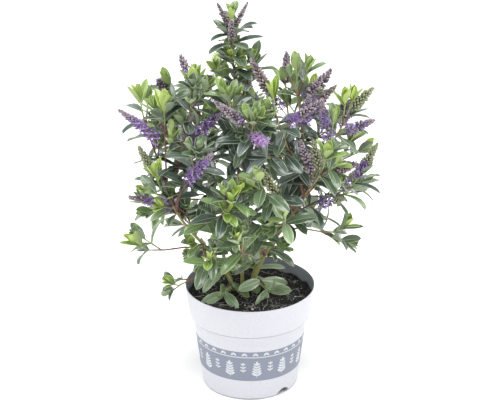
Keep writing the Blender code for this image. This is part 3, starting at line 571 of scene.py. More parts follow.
# Name, foot across and back, tip, the ways it sets out and ends, and radius at its foot
STEMS = (
    ("stem_left", (-0.022, 0.010), (-0.104, -0.045, 0.292), (-0.34, -0.12, 1.0), (-0.2, -0.2, 1.0), 0.0032),
    ("stem_right", (0.004, 0.026), (0.078, -0.040, 0.308), (0.26, -0.08, 1.0), (0.25, -0.25, 1.0), 0.0038),
    ("stem_middle", (-0.010, 0.022), (-0.018, 0.010, 0.396), (-0.02, 0.02, 1.0), (-0.02, 0.0, 1.0), 0.0030),
    ("stem_back_left", (-0.026, 0.036), (-0.062, 0.074, 0.320), (-0.3, 0.16, 1.0), (-0.1, 0.1, 1.0), 0.0028),
    ("stem_back_right", (0.004, 0.044), (0.058, 0.080, 0.322), (0.3, 0.14, 1.0), (0.1, 0.1, 1.0), 0.0030),
)


def chance(*keys):
    """The source's seeded number from 0 to 1: the fraction of a large multiple of a sine, key by key. The
    first keys say which limb or leaf it is for, and the last one which of its features."""
    value = SEED
    for key in keys:
        value = math.sin(value * 12.9898 + key * 78.233) * 43758.5453
        value -= math.floor(value)
    return value


def spread(size, *keys):
    """A seeded number from -size to +size."""
    return size * (2.0 * chance(*keys) - 1.0)


def bent_line(start, start_way, end, end_way, steps):
    """Points of a cubic curve from start to end, whose two handles are a share of the straight way."""
    reach = (end - start).length * HANDLE_SHARE
    run = np.linspace(0.0, 1.0, steps + 1)[:, None]
    rest = 1.0 - run
    handles = (start, start + start_way.normalized() * reach, end - end_way.normalized() * reach, end)
    shares = (rest ** 3, 3 * rest ** 2 * run, 3 * rest * run ** 2, run ** 3)
    return sum(share * np.array(handle) for share, handle in zip(shares, handles))


class Limb:
    """A tapering limb: a line of points with a radius at its foot and one at its tip."""

    def __init__(self, line, foot_radius, tip_radius):
        self.line = np.asarray(line, float)
        self.foot_radius = foot_radius
        self.tip_radius = tip_radius
        steps = np.linalg.norm(np.diff(self.line, axis=0), axis=1)
        self.marks = np.concatenate([[0.0], np.cumsum(steps)])
        self.length = self.marks[-1]

    def at(self, distance):
        """The point on the line at this distance from its foot, and the line's way there."""
        index = int(np.clip(np.searchsorted(self.marks, distance) - 1, 0, len(self.line) - 2))
        near, far = Vector(self.line[index]), Vector(self.line[index + 1])
        share = min(max((distance - self.marks[index]) / (far - near).length, 0.0), 1.0)
        return near.lerp(far, share), (far - near).normalized()

    def radius(self, distance):
        """The limb's radius at this distance from its foot."""
        return self.foot_radius + (self.tip_radius - self.foot_radius) * distance / self.length

    def points(self, distances):
        """The points on the line at these distances from its foot."""
        return np.stack([np.interp(distances, self.marks, column) for column in self.line.T], axis=-1)

    def stretch(self, start, end, steps, foot_radius, tip_radius):
        """The part of this line from start to end, as a limb of its own."""
        return Limb(self.points(np.linspace(start, end, steps + 1)), foot_radius, tip_radius)


def barked(line, radii, sides, rings, key):
    """A woody limb: a round section carried along the line. Its radius swells at each ring, most at the two
    leaf scars of that ring, and it is ribbed a little all round."""
    marks = np.concatenate([[0.0], np.cumsum(np.linalg.norm(np.diff(line, axis=0), axis=1))])[:, None]
    angle = 2.0 * np.pi * np.arange(sides)[None, :] / sides
    ribs = 0.6 * np.sin(3.0 * angle + marks * 60.0 + key) + 0.4 * np.sin(5.0 * angle - marks * 110.0)
    swollen = np.asarray(radii)[:, None] * (1.0 + RIB_DEPTH * ribs)
    for number, ring in enumerate(rings):
        near = np.exp(-((marks - ring) / RING_WIDTH) ** 2)
        scars = 0.65 + 0.75 * np.cos(angle + number * np.pi / 2 + key) ** 8
        swollen = swollen + RING_HEIGHT * near * scars
    return carried(line, swollen, sides)


# Young bark: smooth and faintly glossy, olive on the oldest wood, dark red-brown above
bark_finishes = [surface("olive_bark", "#a9aa6a", (0.45, 0.65), 1.4, 0.10, "#8d9158"),
                 surface("tan_bark", "#98805f", (0.45, 0.65), 1.4, 0.10, "#867a52"),
                 surface("red_brown_bark", "#6b4a42", (0.42, 0.62), 1.4, 0.10, "#563b34")]

limbs = {}
limb_samples = []
shapes = []
for order, (name, foot, tip, foot_way, tip_way, radius) in enumerate(STEMS):
    cut_face = Vector((*foot, SOIL_TOP + GAP))
    ends = cut_face + UP * FOOT_CUT_HEIGHT, Vector(foot_way), Vector(tip), Vector(tip_way)
    limbs[name] = Limb(np.concatenate([[cut_face], bent_line(*ends, STEM_STEPS)]), radius, STEM_TIP_RADIUS)
    buried = [cut_face - UP * FOOT_SUNK, cut_face]
    smooth = Limb(np.concatenate([buried, bent_line(*ends, STEM_ROWS)]), radius, STEM_TIP_RADIUS)
    marks = np.linspace(0.0, smooth.length, int(smooth.length / STEM_ROW_SPACING))
    line = smooth.points(marks)
    above = np.maximum(marks - FOOT_SUNK, 0.0)
    swelling = 1.0 + FLARE * np.maximum(0.0, 1.0 - above / FLARE_HEIGHT) ** FLARE_POWER
    radii = (radius + (STEM_TIP_RADIUS - radius) * above / above[-1]) * swelling * BARK_FIT
    first_ring = FIRST_RING + FIRST_RING_VARIES * chance(order, 70)
    rings = np.arange(first_ring, smooth.length, RING_SPACING)
    points, faces, caps = barked(line, radii, STEM_SIDES, rings, order * 1.7)
    # The tone changes only at a ring, so that no bark tone ends in mid-wood
    nearest = np.searchsorted(rings, np.interp(points[faces[:, 0], 2], line[:, 2], marks))
    edges = np.interp(np.concatenate([[0.0], rings]), marks, line[:, 2])
    tone = np.searchsorted((OLIVE_BELOW, BROWN_ABOVE), edges + TONE_SHIFT * math.sin(order * 2.0))[nearest]
    shapes.append((points, [(faces, tone), (caps[0], OLIVE_BARK), (caps[1], RED_BARK)]))
    limb_samples.append((line[::4], radii[::4]))
points, faces = joined(shapes)
stems = new_piece("stems", points, faces, bark_finishes)
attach(stems, "root")
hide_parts(*[row[0] for row in STEMS])


# Boughs
# The bare lower part of each shoot: one slender red-brown limb that forks off a main stem, its foot buried in
# that stem's bark, and runs up into its mass of foliage. Short shoots have none and fork as leafy twigs.
BOUGH_FOOT_RADIUS = 0.0017
BOUGH_TIP_RADIUS = 0.0012
BOUGH_STEPS = 3
BOUGH_SIDES = 10
BOUGH_ROW_SPACING = 0.0013
BOUGH_INTO_TWIG = 0.002
BOUGH_RING = 0.010
BOUGH_RING_VARIES = 0.006
# The bark's radius in its bearer, and at its fork, once clear of it and at its tip
BURIED_RADIUS = 0.0019
FORK_RADIUS = 0.0025
CLEAR_RADIUS = 0.0021
CLEAR_AT = 0.006
BARK_TIP_RADIUS = 0.0015
SHORTEST_BOUGH = 0.028
LEAN_TO_PARENT = 0.35
FORK_ANGLE = 27.0
SHOOT_STEPS = 16
SHOOT_SWEEP = 0.6
SHOOT_RISE = 0.8
BUD_REACH = 0.017
TWIG_FOOT_RADIUS = 0.0014
TWIG_TIP_RADIUS = 0.0009
TWIG_STEPS = 4
VIOLET, MAUVE, BROWN, GREEN, CREAM, MAGENTA = range(6)
LIME_TIP, GREEN_TIP, DARK_TIP = range(3)

# Shoots: name, limb that bears it, share of that limb's length, where its top leaves reach, leafy length, how
# far its tip has greened, and its spikes. A spike is the leaf pair it springs from, counted from the bud, its
# bearing, rise and reach, the share of it that is in flower, from the foot, and the colour of its buds.
SHOOTS = (
    ("leader", "stem_middle", 1.0, (-0.024, 0.010, 0.522), 0.110, LIME_TIP,
     ((2, 176, 66, 0.044, 0.0, MAUVE), (2, 4, 64, 0.046, 0.0, MAUVE), (3, -96, 72, 0.040, 0.0, MAUVE))),
    ("top_right", "stem_middle", 0.93, (0.006, 0.015, 0.466), 0.080, LIME_TIP, ()),
    ("top_left", "stem_middle", 0.86, (-0.048, 0.030, 0.447), 0.080, LIME_TIP, ()),
    ("front_top", "stem_middle", 0.74, (-0.027, -0.060, 0.440), 0.082, GREEN_TIP, ()),
    ("front_centre", "stem_middle", 0.66, (0.005, -0.090, 0.422), 0.084, GREEN_TIP,
     ((2, -166, 44, 0.064, 0.05, MAUVE), (3, -69, 17, 0.052, 0.95, MAGENTA))),
    ("left_top", "stem_left", 1.0, (-0.109, -0.030, 0.419), 0.086, LIME_TIP,
     ((4, -175, 43, 0.078, 0.55, VIOLET),)),
    ("left_high", "stem_left", 0.95, (-0.142, 0.000, 0.419), 0.090, LIME_TIP, ()),
    ("left_inner", "stem_left", 0.90, (-0.071, -0.020, 0.444), 0.092, LIME_TIP,
     ((5, 154, 9, 0.036, 0.0, MAUVE), (6, -8, 46, 0.074, 0.72, VIOLET))),
    ("front_shoulder", "stem_left", 0.82, (-0.062, -0.092, 0.384), 0.086, DARK_TIP,
     ((5, -50, 49, 0.082, 0.65, VIOLET),)),
    ("front_left", "stem_left", 0.62, (-0.021, -0.120, 0.327), 0.082, LIME_TIP, ()),
    ("left_front", "stem_left", 0.56, (-0.120, -0.052, 0.333), 0.084, LIME_TIP,
     ((2, 145, 56, 0.060, 0.0, GREEN), (5, -163, 23, 0.072, 0.55, BROWN))),
    ("low_front", "stem_left", 0.45, (-0.052, -0.120, 0.244), 0.092, LIME_TIP, ()),
    ("low_left", "stem_left", 0.40, (-0.154, -0.020, 0.223), 0.092, LIME_TIP, ()),
    ("rim_left", "stem_left", 0.20, (-0.113, -0.030, 0.169), 0.072, LIME_TIP, ()),
    ("right_top", "stem_right", 1.0, (0.132, -0.010, 0.420), 0.086, LIME_TIP,
     ((2, 18, 44, 0.047, 0.0, GREEN), (3, 70, 68, 0.048, 0.0, MAUVE), (4, -14, 31, 0.056, 0.40, VIOLET),
      (5, -154, 80, 0.070, 0.65, MAUVE))),
    ("right_inner", "stem_right", 0.90, (0.059, 0.000, 0.458), 0.098, GREEN_TIP,
     ((4, -22, 59, 0.058, 0.25, MAUVE), (5, -10, 51, 0.068, 0.40, BROWN), (6, -60, 76, 0.060, 0.50, VIOLET))),
    ("right_front", "stem_right", 0.86, (0.098, -0.080, 0.370), 0.066, LIME_TIP,
     ((3, 117, 65, 0.044, 0.0, GREEN), (4, -169, 71, 0.062, 0.0, MAUVE))),
    ("front_right", "stem_right", 0.84, (0.027, -0.062, 0.446), 0.086, LIME_TIP,
     ((1, 147, 56, 0.060, 0.0, BROWN), (4, -9, 41, 0.070, 0.30, MAUVE))),
    ("right_mid", "stem_right", 0.76, (0.134, 0.010, 0.359), 0.096, LIME_TIP,
     ((4, -51, 29, 0.060, 0.0, BROWN),)),
    ("front_mid", "stem_right", 0.70, (0.010, -0.110, 0.351), 0.096, GREEN_TIP,
     ((5, 166, 62, 0.046, 0.0, CREAM),)),
    ("right_low", "stem_right", 0.66, (0.150, -0.010, 0.318), 0.096, DARK_TIP,
     ((2, -2, 63, 0.066, 0.35, GREEN), (6, -31, 24, 0.058, 0.60, GREEN))),
    ("front_low", "stem_right", 0.56, (0.044, -0.090, 0.290), 0.094, GREEN_TIP, ()),
    ("rim_right", "stem_right", 0.50, (0.130, -0.020, 0.247), 0.086, LIME_TIP, ()),
    ("front_foot", "stem_right", 0.24, (-0.016, -0.125, 0.274), 0.084, LIME_TIP, ()),
    ("back_left_top", "stem_back_left", 1.0, (-0.108, 0.022, 0.428), 0.086, GREEN_TIP,
     ((2, -143, 53, 0.034, 0.0, MAUVE),)),
    ("left_back", "stem_back_left", 0.84, (-0.132, 0.062, 0.345), 0.082, GREEN_TIP,
     ((2, 170, 40, 0.056, 0.55, VIOLET),)),
    ("back_left", "stem_back_left", 0.66, (-0.070, 0.090, 0.410), 0.080, LIME_TIP,
     ((2, 120, 45, 0.058, 0.50, MAUVE), (4, 30, 40, 0.052, 0.70, MAGENTA))),
    ("back_low_left", "stem_back_left", 0.64, (-0.052, 0.140, 0.305), 0.088, GREEN_TIP,
     ((2, 100, 35, 0.056, 0.60, VIOLET),)),
    ("left_low_back", "stem_back_left", 0.56, (-0.146, 0.050, 0.252), 0.094, DARK_TIP, ()),
    ("foot_back_left", "stem_back_left", 0.36, (-0.086, 0.112, 0.205), 0.080, GREEN_TIP, ()),
    ("back_right_top", "stem_back_right", 1.0, (0.082, 0.040, 0.414), 0.086, LIME_TIP,
     ((2, 20, 55, 0.050, 0.0, MAUVE),)),
    ("back_right", "stem_back_right", 0.94, (0.044, 0.112, 0.402), 0.082, GREEN_TIP,
     ((2, 88, 70, 0.056, 0.0, MAUVE), (4, 140, 40, 0.054, 0.60, VIOLET))),
    ("right_back", "stem_back_right", 0.84, (0.118, 0.092, 0.352), 0.080, GREEN_TIP,
     ((2, 20, 35, 0.058, 0.50, MAUVE),)),
    ("back_mid", "stem_back_right", 0.74, (-0.004, 0.128, 0.362), 0.086, LIME_TIP,
     ((2, 100, 45, 0.058, 0.30, BROWN),)),
    ("back_low_right", "stem_back_right", 0.64, (0.046, 0.150, 0.296), 0.092, LIME_TIP,
     ((2, 80, 35, 0.058, 0.60, VIOLET),)),
    ("right_low_back", "stem_back_right", 0.54, (0.146, 0.062, 0.268), 0.096, DARK_TIP,
     ((3, 30, 35, 0.056, 0.45, GREEN),)),
    ("foot_back_right", "stem_back_right", 0.36, (0.086, 0.120, 0.212), 0.084, GREEN_TIP, ()),
    ("foot_left", "stem_left", 0.05, (-0.040, -0.034, 0.152), 0.050, DARK_TIP, ()),
    ("foot_right", "stem_right", 0.05, (0.034, -0.022, 0.152), 0.050, DARK_TIP, ()),
)


def leave(parent, share, aim, radius):
    """Where a limb of this radius starts on its parent, just clear of it, and the way it sets out. At the
    parent's tip it grows on from the end face. Elsewhere it forks off by FORK_ANGLE at least."""
    point, parent_way = parent.at(parent.length * share)
    way = (parent_way * LEAN_TO_PARENT + (aim - point).normalized()).normalized()
    angle = parent_way.angle(way)
    if share == 1.0:
        return point + way * (GAP + radius * math.sin(angle)) / math.cos(angle), way
    angle = max(angle, math.radians(FORK_ANGLE))
    side = (way - parent_way * way.dot(parent_way)).normalized()
    way = parent_way * math.cos(angle) + side * math.sin(angle)
    bark = parent.radius(parent.length * share)
    return point + way * (bark + GAP + radius * math.cos(angle)) / math.sin(angle), way


shoots = []
shapes = []
bough_names = []
bearers = []
for order, (name, parent_name, share, top, leafy, tip, spikes) in enumerate(SHOOTS):
    parent = limbs[parent_name]
    root = parent.at(parent.length * share)[0]
    start, way = leave(parent, share, Vector(top), BOUGH_FOOT_RADIUS)
    end_way = (way * SHOOT_SWEEP + UP * SHOOT_RISE).normalized()
    end = Vector(top) - end_way * BUD_REACH
    shoot = Limb(bent_line(start, way, end, end_way, SHOOT_STEPS), BOUGH_FOOT_RADIUS, TWIG_TIP_RADIUS)
    bare = shoot.length - leafy
    if bare >= SHORTEST_BOUGH:
        bough_names.append("bough_" + name)
        marks = np.linspace(0.0, bare + BOUGH_INTO_TWIG, int(bare / BOUGH_ROW_SPACING))
        line = np.concatenate([[root, root * 0.4 + start * 0.6], shoot.points(marks)])
        radii = np.interp(marks, (0.0, CLEAR_AT, bare), (FORK_RADIUS, CLEAR_RADIUS, BARK_TIP_RADIUS))
        radii = np.concatenate([[BURIED_RADIUS, BURIED_RADIUS], radii])
        rings = np.arange(BOUGH_RING + BOUGH_RING_VARIES * chance(order, 71), bare, RING_SPACING)
        points, faces, caps = barked(line, radii, BOUGH_SIDES, rings, order)
        shapes.append((points, [(faces, RED_BARK), (np.concatenate(caps), RED_BARK)]))
        limb_samples.append((line[::3], radii[::3]))
        bearers.append(shoot.stretch(0.0, bare, BOUGH_STEPS, BOUGH_FOOT_RADIUS, BOUGH_TIP_RADIUS))
        stem = shoot.stretch(bare + GAP, shoot.length, TWIG_STEPS, TWIG_FOOT_RADIUS, TWIG_TIP_RADIUS)
        root = None
    else:
        start, way = leave(parent, share, end, TWIG_FOOT_RADIUS)
        stem = Limb(bent_line(start, way, end, end_way, TWIG_STEPS), TWIG_FOOT_RADIUS, TWIG_TIP_RADIUS)
    shoots.append((name, order * 10.0, stem, root, tip, spikes))
points, faces = joined(shapes)
boughs = new_piece("boughs", points, faces, bark_finishes)
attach(boughs, "root")
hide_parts(*bough_names)


# Twigs
# The leafy end of each shoot, its side twigs as the source's rule gives them, and finer twigs from the other
# axils: soft this year's wood, green at the tip and red-brown where it has ripened, with a ring at each pair.
SIDE_TWIG_LENGTH = 0.030
SIDE_TWIG_VARIES = 0.012
SIDE_TWIG_PAIRS = (3, 5)
SIDE_TWIG_LOWEST = 0.019
SIDE_TWIG_OUT = 0.75
SIDE_TWIG_ALONG = 0.8
SIDE_TWIG_UP = 0.15
SIDE_TWIG_RADII = (0.0011, 0.0008)
SIDE_TWIG_LIKE_ITS_SHOOT = 0.4
# The leader stands slim: its side twigs have these shares of the usual length and of the usual lean out
LEADER_SHORTER = 0.62
LEADER_NARROWER = 0.45
BUD_INSET = 0.0008
BUD_SPACINGS = (0.008, 0.011)
INTERNODE = 0.016
BARE_ROOT = 0.0045
# How far a pair stands open, in degrees, at each age counted in pairs from the bud
PAIR_AGES = (-0.5, 0.0, 1.0, 2.0, 3.0, 4.0)
OPENINGS = (10.0, 17.0, 36.0, 54.0, 64.0, 72.0)
OPENING_VARIES = 7.0
PAIR_TURN_VARIES = 12.0
# Shoots whose tip is lower than this are loose: they keep only their youngest pairs
LOOSE_BELOW = 0.30
LOOSE_PAIRS = 4
ALL_PAIRS = 99
FEW_PAIRS = {"rim_left": 2, "low_left": 3}
FINE_TWIG_LENGTH = 0.015
FINE_TWIG_VARIES = 0.012
FINE_TWIG_CHANCE = 0.24
FINE_TWIG_FROM = 2
FINE_TWIG_SHARES = (0.55, 0.8, 0.2)
FINE_TWIG_RADII = (0.0009, 0.0006)
FINE_LIME_CHANCE = 0.16
FINE_DARK_CHANCE = 0.6
GOLDEN_TURN = math.radians(137.508)
INNER_FROM_STEM_FOOT = 0.070
INNER_FROM_BOUGH_FOOT = 0.012
INNER_FROM_TIP = 0.004
INNER_SPACING = 0.024
INNER_LENGTH = 0.030
INNER_VARIES = 0.022
INNER_SHARES = (0.9, 0.3, 0.25)
INNER_RADII = (0.0010, 0.0006)
INNER_LOWEST = 0.205
INNER_HIGHEST = 0.425
INNER_REACH = 0.098
# Small sprays low on the stems, and some close to the leader: limb, distance up it, bearing, rise, length
# and tip
SPRAYS = (
    ("stem_left", 0.058, 190, 12, 0.030, GREEN_TIP), ("stem_left", 0.044, 222, 2, 0.024, GREEN_TIP),
    ("stem_left", 0.070, 275, 35, 0.026, GREEN_TIP), ("stem_left", 0.086, 235, 30, 0.028, GREEN_TIP),
    ("stem_middle", 0.040, 262, 20, 0.030, GREEN_TIP), ("stem_middle", 0.056, 300, 28, 0.028, GREEN_TIP),
    ("stem_middle", 0.066, 215, 35, 0.026, GREEN_TIP), ("stem_right", 0.045, 238, 12, 0.028, GREEN_TIP),
    ("stem_right", 0.076, 290, 30, 0.026, GREEN_TIP), ("stem_right", 0.060, 200, 25, 0.024, GREEN_TIP),
    ("stem_back_left", 0.040, 200, 15, 0.028, GREEN_TIP),
    ("stem_back_right", 0.040, -10, 15, 0.030, GREEN_TIP),
    ("stem_back_right", 0.022, 10, 30, 0.024, GREEN_TIP),
    ("stem_back_left", 0.050, 110, 20, 0.030, GREEN_TIP),
    ("stem_left", 0.168, 250, 50, 0.024, DARK_TIP), ("stem_left", 0.150, 190, 40, 0.026, DARK_TIP),
    ("leader", 0.048, -112, 62, 0.015, LIME_TIP), ("leader", 0.034, -40, 52, 0.020, LIME_TIP),
    ("leader", 0.022, 200, 48, 0.022, LIME_TIP), ("leader", 0.060, 75, 55, 0.016, GREEN_TIP),
)
GREEN_WOOD = 0.024
RIPENED_CHANCE = 0.7
TWIG_ROW_SPACING = 0.0026
TWIG_SIDES = 8
THICKEST_TWIG = 0.00125
TWIG_RING_HEIGHT = 0.00022
TWIG_RING_WIDTH = 0.0016
TWIG_SUNK = 0.002


def pair_stations(twig):
    """Where leaf pairs sit on a twig, bud first: a list of distances from the twig's foot."""
    stations = []
    distance = twig.length - BUD_INSET
    while distance > BARE_ROOT:
        stations.append(distance)
        spacing = BUD_SPACINGS + (INTERNODE,)
        distance -= spacing[min(len(stations) - 1, len(BUD_SPACINGS))]
    return stations


def pair_ways(twig, distance, age, key, opening_share=1.0):
    """A leaf pair's point, the twig's way there and the pair's two ways. A pair one step older is turned a
    quarter round the twig, so that pairs cross, and opens wider."""
    point, axis = twig.at(distance)
    whole = int(age)
    turn = math.radians(90.0 * (age % 2.0) + 360.0 * chance(key, 1) + spread(PAIR_TURN_VARIES, key, whole, 2))
    side = Matrix.Rotation(turn, 3, axis) @ axis.orthogonal().normalized()
    usual = np.interp(age, PAIR_AGES, OPENINGS)
    ways = []
    for sense in (1.0, -1.0):
        opening = (usual + spread(OPENING_VARIES, key, whole, 3 + sense)) * opening_share
        angle = math.radians(opening)
        ways.append(axis * math.cos(angle) + side * sense * math.sin(angle))
    return point, axis, ways


def forked(point, axis, way, shares, length):
    """The end of a twig from this point. Its way is made of shares of the axil's way, its bearer's and the
    sky's."""
    out, along, up = shares
    return point + (way * out + axis * along + UP * up).normalized() * length


def toward(bearing, rise):
    """The way with this bearing and rise in degrees, as three numbers."""
    turn, up = math.radians(bearing), math.radians(rise)
    return math.cos(turn) * math.cos(up), math.sin(turn) * math.cos(up), math.sin(up)


# Name, key, limb, root in its bearer, leaf size, oldest pair, how much older its leaves are, tip
leafy_twigs = []
for name, key, stem, root, tip, _ in shoots:
    loose = stem.line[-1, 2] < LOOSE_BELOW
    pairs = LOOSE_PAIRS if loose else ALL_PAIRS
    leafy_twigs.append((name, key, stem, root, 1.0, FEW_PAIRS.get(name, pairs), 0.0, tip))
    for age, distance in enumerate(pair_stations(stem)[:pairs]):
        point, axis, ways = pair_ways(stem, distance, age, key)
        chosen = 0 if chance(key, age, 9) < 0.5 else 1
        sided = age in SIDE_TWIG_PAIRS and distance > SIDE_TWIG_LOWEST
        if sided:
            length = SIDE_TWIG_LENGTH + SIDE_TWIG_VARIES * chance(key, age, 8)
            out = SIDE_TWIG_OUT
            if name == "leader":
                length, out = length * LEADER_SHORTER, out * LEADER_NARROWER
            end = forked(point, axis, ways[chosen], (out, SIDE_TWIG_ALONG, SIDE_TWIG_UP), length)
            later = tip if chance(key, age, 46) < SIDE_TWIG_LIKE_ITS_SHOOT else GREEN_TIP
            if loose:
                later = DARK_TIP
            side_twig = Limb([point, end], *SIDE_TWIG_RADII)
            leafy_twigs.append((name, key + age, side_twig, None, 0.88, 3, 0.0, later))
        for side in (0, 1):
            often = FINE_TWIG_CHANCE * (0.5 if loose else 1.0)
            free = age >= FINE_TWIG_FROM and not (sided and side == chosen)
            if free and chance(key, age, 20 + side) < often:
                length = FINE_TWIG_LENGTH + FINE_TWIG_VARIES * chance(key, age, 22 + side)
                end = forked(point, axis, ways[side], FINE_TWIG_SHARES, length)
                later = DARK_TIP if chance(key, age, 26 + side) < FINE_DARK_CHANCE else GREEN_TIP
                if chance(key, age, 24 + side) < FINE_LIME_CHANCE:
                    later = LIME_TIP
                fine_twig = Limb([point, end], *FINE_TWIG_RADII)
                fine_key = key + age + 0.3 + side * 0.3
                leafy_twigs.append((name, fine_key, fine_twig, None, 0.72, 2, 0.6, later))

# Shaded twigs inside the crown, from the main stems and the boughs: they hold only dark, spread leaves
for order, bearer in enumerate(list(limbs.values()) + bearers):
    first = INNER_FROM_STEM_FOOT if order < len(limbs) else INNER_FROM_BOUGH_FOOT
    for step, distance in enumerate(np.arange(first, bearer.length - INNER_FROM_TIP, INNER_SPACING)):
        key = 400.0 + order + step * 0.01
        turn = GOLDEN_TURN * (step + order * 3)
        point, axis = bearer.at(distance)
        way = Matrix.Rotation(turn, 3, axis) @ axis.orthogonal().normalized()
        end = forked(point, axis, way, INNER_SHARES, INNER_LENGTH + INNER_VARIES * chance(key, 3))
        if point.z > INNER_LOWEST and math.hypot(end.x, end.y) < INNER_REACH and end.z < INNER_HIGHEST:
            leafy_twigs.append(("inner", key, Limb([point, end], *INNER_RADII), None, 0.92, 4, 2.0, DARK_TIP))

limbs["leader"] = shoots[0][2]
for number, (bearer, distance, bearing, rise, length, tip) in enumerate(SPRAYS):
    point, axis = limbs[bearer].at(distance)
    end = point + Vector(toward(bearing, rise)) * length
    spray = Limb([point, end], *FINE_TWIG_RADII)
    older = 0.0 if bearer == "leader" else 0.5
    leafy_twigs.append(("spray", 500.0 + number, spray, None, 0.62, 3, older, tip))

# Green wood is satin and soft, ripened wood drier and darker
twig_finishes = [surface("green_wood", "#8da35f", (0.4, 0.55), 1.2, 0.05),
                 surface("ripened_wood", "#704f45", (0.45, 0.6), 1.2, 0.06),
                 surface("half_ripe_wood", "#8b7b54", (0.45, 0.6), 1.2, 0.05)]
GREEN_SOFT, RIPENED, HALF_RIPE = range(3)
shapes = []
for _, key, twig, root, size, _, aged, _ in leafy_twigs:
    marks = np.linspace(0.0, twig.length, max(4, int(twig.length / TWIG_ROW_SPACING)))
    line = twig.points(marks)
    ends = min(twig.foot_radius, THICKEST_TWIG), twig.tip_radius
    radii = np.interp(marks, (0.0, twig.length), ends)
    for station in pair_stations(twig):
        radii = radii + TWIG_RING_HEIGHT * np.exp(-((marks - station) / TWIG_RING_WIDTH) ** 2)
    if root is not None:
        line = np.concatenate([[root], line])
        radii = np.concatenate([[radii[0]], radii])
        marks = np.concatenate([[-TWIG_SUNK], marks])
    points, faces, caps = carried(line, radii, TWIG_SIDES)
    from_bud = twig.length - np.repeat((marks[:-1] + marks[1:]) / 2, TWIG_SIDES)
    green = 0.0 if aged else GREEN_WOOD * size
    ripe = RIPENED if chance(key, 77) < RIPENED_CHANCE else HALF_RIPE
    tone = np.where(from_bud < green, GREEN_SOFT, ripe)
    shapes.append((points, [(faces, tone), (caps[0], ripe), (caps[1], GREEN_SOFT)]))
    limb_samples.append((line[::2], radii[::2]))
points, faces = joined(shapes)
twigs = new_piece("twigs", points, faces, twig_finishes)
foliage_nodes = ["foliage_" + row[0] for row in SHOOTS]
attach(twigs, "root")
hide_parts(*foliage_nodes)


# Flower spikes
# A long raceme on a thin stalk from a leaf axil: buds in a close spiral round it, each in a small green-brown
# calyx, opening from the foot. An open flower has a short tube, four spread lobes and two long stamens.
STALK = 0.014
SHORT_STALK = 0.7
LONG_SPIKE = 0.065
SHORT_SPIKE = 0.05
STALK_RADII = (0.00075, 0.0006, 0.0002)
STALK_SIDES = 6
STALK_ROWS = 20
SPIKE_SAG = 0.04
BUD_PITCH = 0.00046
FLOWER_PITCH = 0.00095
# The leader's buds are set closer than the rest and are slimmer, those of its two side spikes most of all
LEADER_SIDE_SLIM = 0.62
LEADER_SLIM = 0.84
USUAL_SLIM = 1.08
LEADER_CLOSE = 0.82
USUAL_CLOSE = 0.96
BUD_LENGTH = 0.0076
BUD_WIDTH = 0.29
BUD_WIDTH_LEAST = 0.0006
BUD_SIDES = 5
BUD_ROOT = 0.0003
# A bud's lean from the stalk in degrees, from the spike's foot to its tip, and its share of full length
BUD_TILTS = (72.0, 60.0, 24.0)
BUD_FULLNESS = (0.85, 1.0, 0.94, 0.70, 0.36)
FLOWER_WIDTH = 0.0034
FLOWER_LENGTHS = (0.0116, 0.0088)
SPIKE_CLEAR = 0.0052
TIP_FROM = 0.72


def frames(ways, near):
    """For each way, its across and out: square to it and to each other, with out turned towards near."""
    along = ways / np.linalg.norm(ways, axis=-1, keepdims=True)
    out = near - along * (near * along).sum(axis=-1, keepdims=True)
    out = out / np.linalg.norm(out, axis=-1, keepdims=True)
    return np.cross(out, along), out, along


def spindle(rings, sides):
    """A closed round body along z from (height, radius) rings between its two end points."""
    inner = np.array(rings[1:-1])
    angle = 2.0 * np.pi * np.arange(sides) / sides
    ring = np.stack([np.cos(angle), -np.sin(angle)], axis=-1)
    heights = np.repeat(inner[:, None, :1], sides, axis=1)
    body = np.concatenate([inner[:, None, 1:] * ring[None], heights], axis=-1)
    points = np.concatenate([body.reshape(-1, 3), [(0.0, 0.0, rings[0][0]), (0.0, 0.0, rings[-1][0])]])
    here = np.arange(sides)
    beside = (here + 1) % sides
    last = (len(inner) - 1) * sides
    foot = np.full(sides, len(points) - 2)
    lower = np.stack([foot, here, beside], axis=-1)
    upper = np.stack([last + here, foot + 1, last + beside], axis=-1)
    return points, np.concatenate([lower, upper]), quads(len(inner), sides)


def lobe(foot, tip, side, thick):
    """A thin eight-faced blade from foot to tip. Side and thick are its half width and half thickness."""
    foot, tip, side, thick = (np.array(part, float) for part in (foot, tip, side, thick))
    middle = foot * 0.42 + tip * 0.58
    points = np.array([foot, middle + side, tip, middle - side, middle + thick, middle - thick])
    faces = np.array([(0, 1, 4), (1, 2, 4), (2, 3, 4), (3, 0, 4), (1, 0, 5), (2, 1, 5), (3, 2, 5), (0, 3, 5)])
    return points, faces


def repeated(template, groups, places, across, out, along, widths, lengths, numbers):
    """A template shape at many places: each point is place + across x + out y, times the width, + along z,
    times the length. numbers gives each copy's finish for each of the template's parts."""
    x, y, z = template.T[:, None, :, None]
    wide = (across[:, None] * x + out[:, None] * y) * widths[:, None, None]
    points = places[:, None] + wide + along[:, None] * z * lengths[:, None, None]
    start = np.arange(len(places))[:, None, None] * len(template)
    made = []
    for corners, part in groups:
        faces = (corners[None] + start).reshape(-1, corners.shape[1])
        made.append((faces, np.repeat(numbers[:, part], len(corners))))
    return points.reshape(-1, 3), made


def spike_points(point, way, distances, reach):
    """Points on a spike's axis: point + way times distance, less a sag of distance squared over reach."""
    sag = np.array([0.0, 0.0, SPIKE_SAG])[None] * (distances ** 2 / reach)[:, None]
    return point + way * distances[:, None] - sag


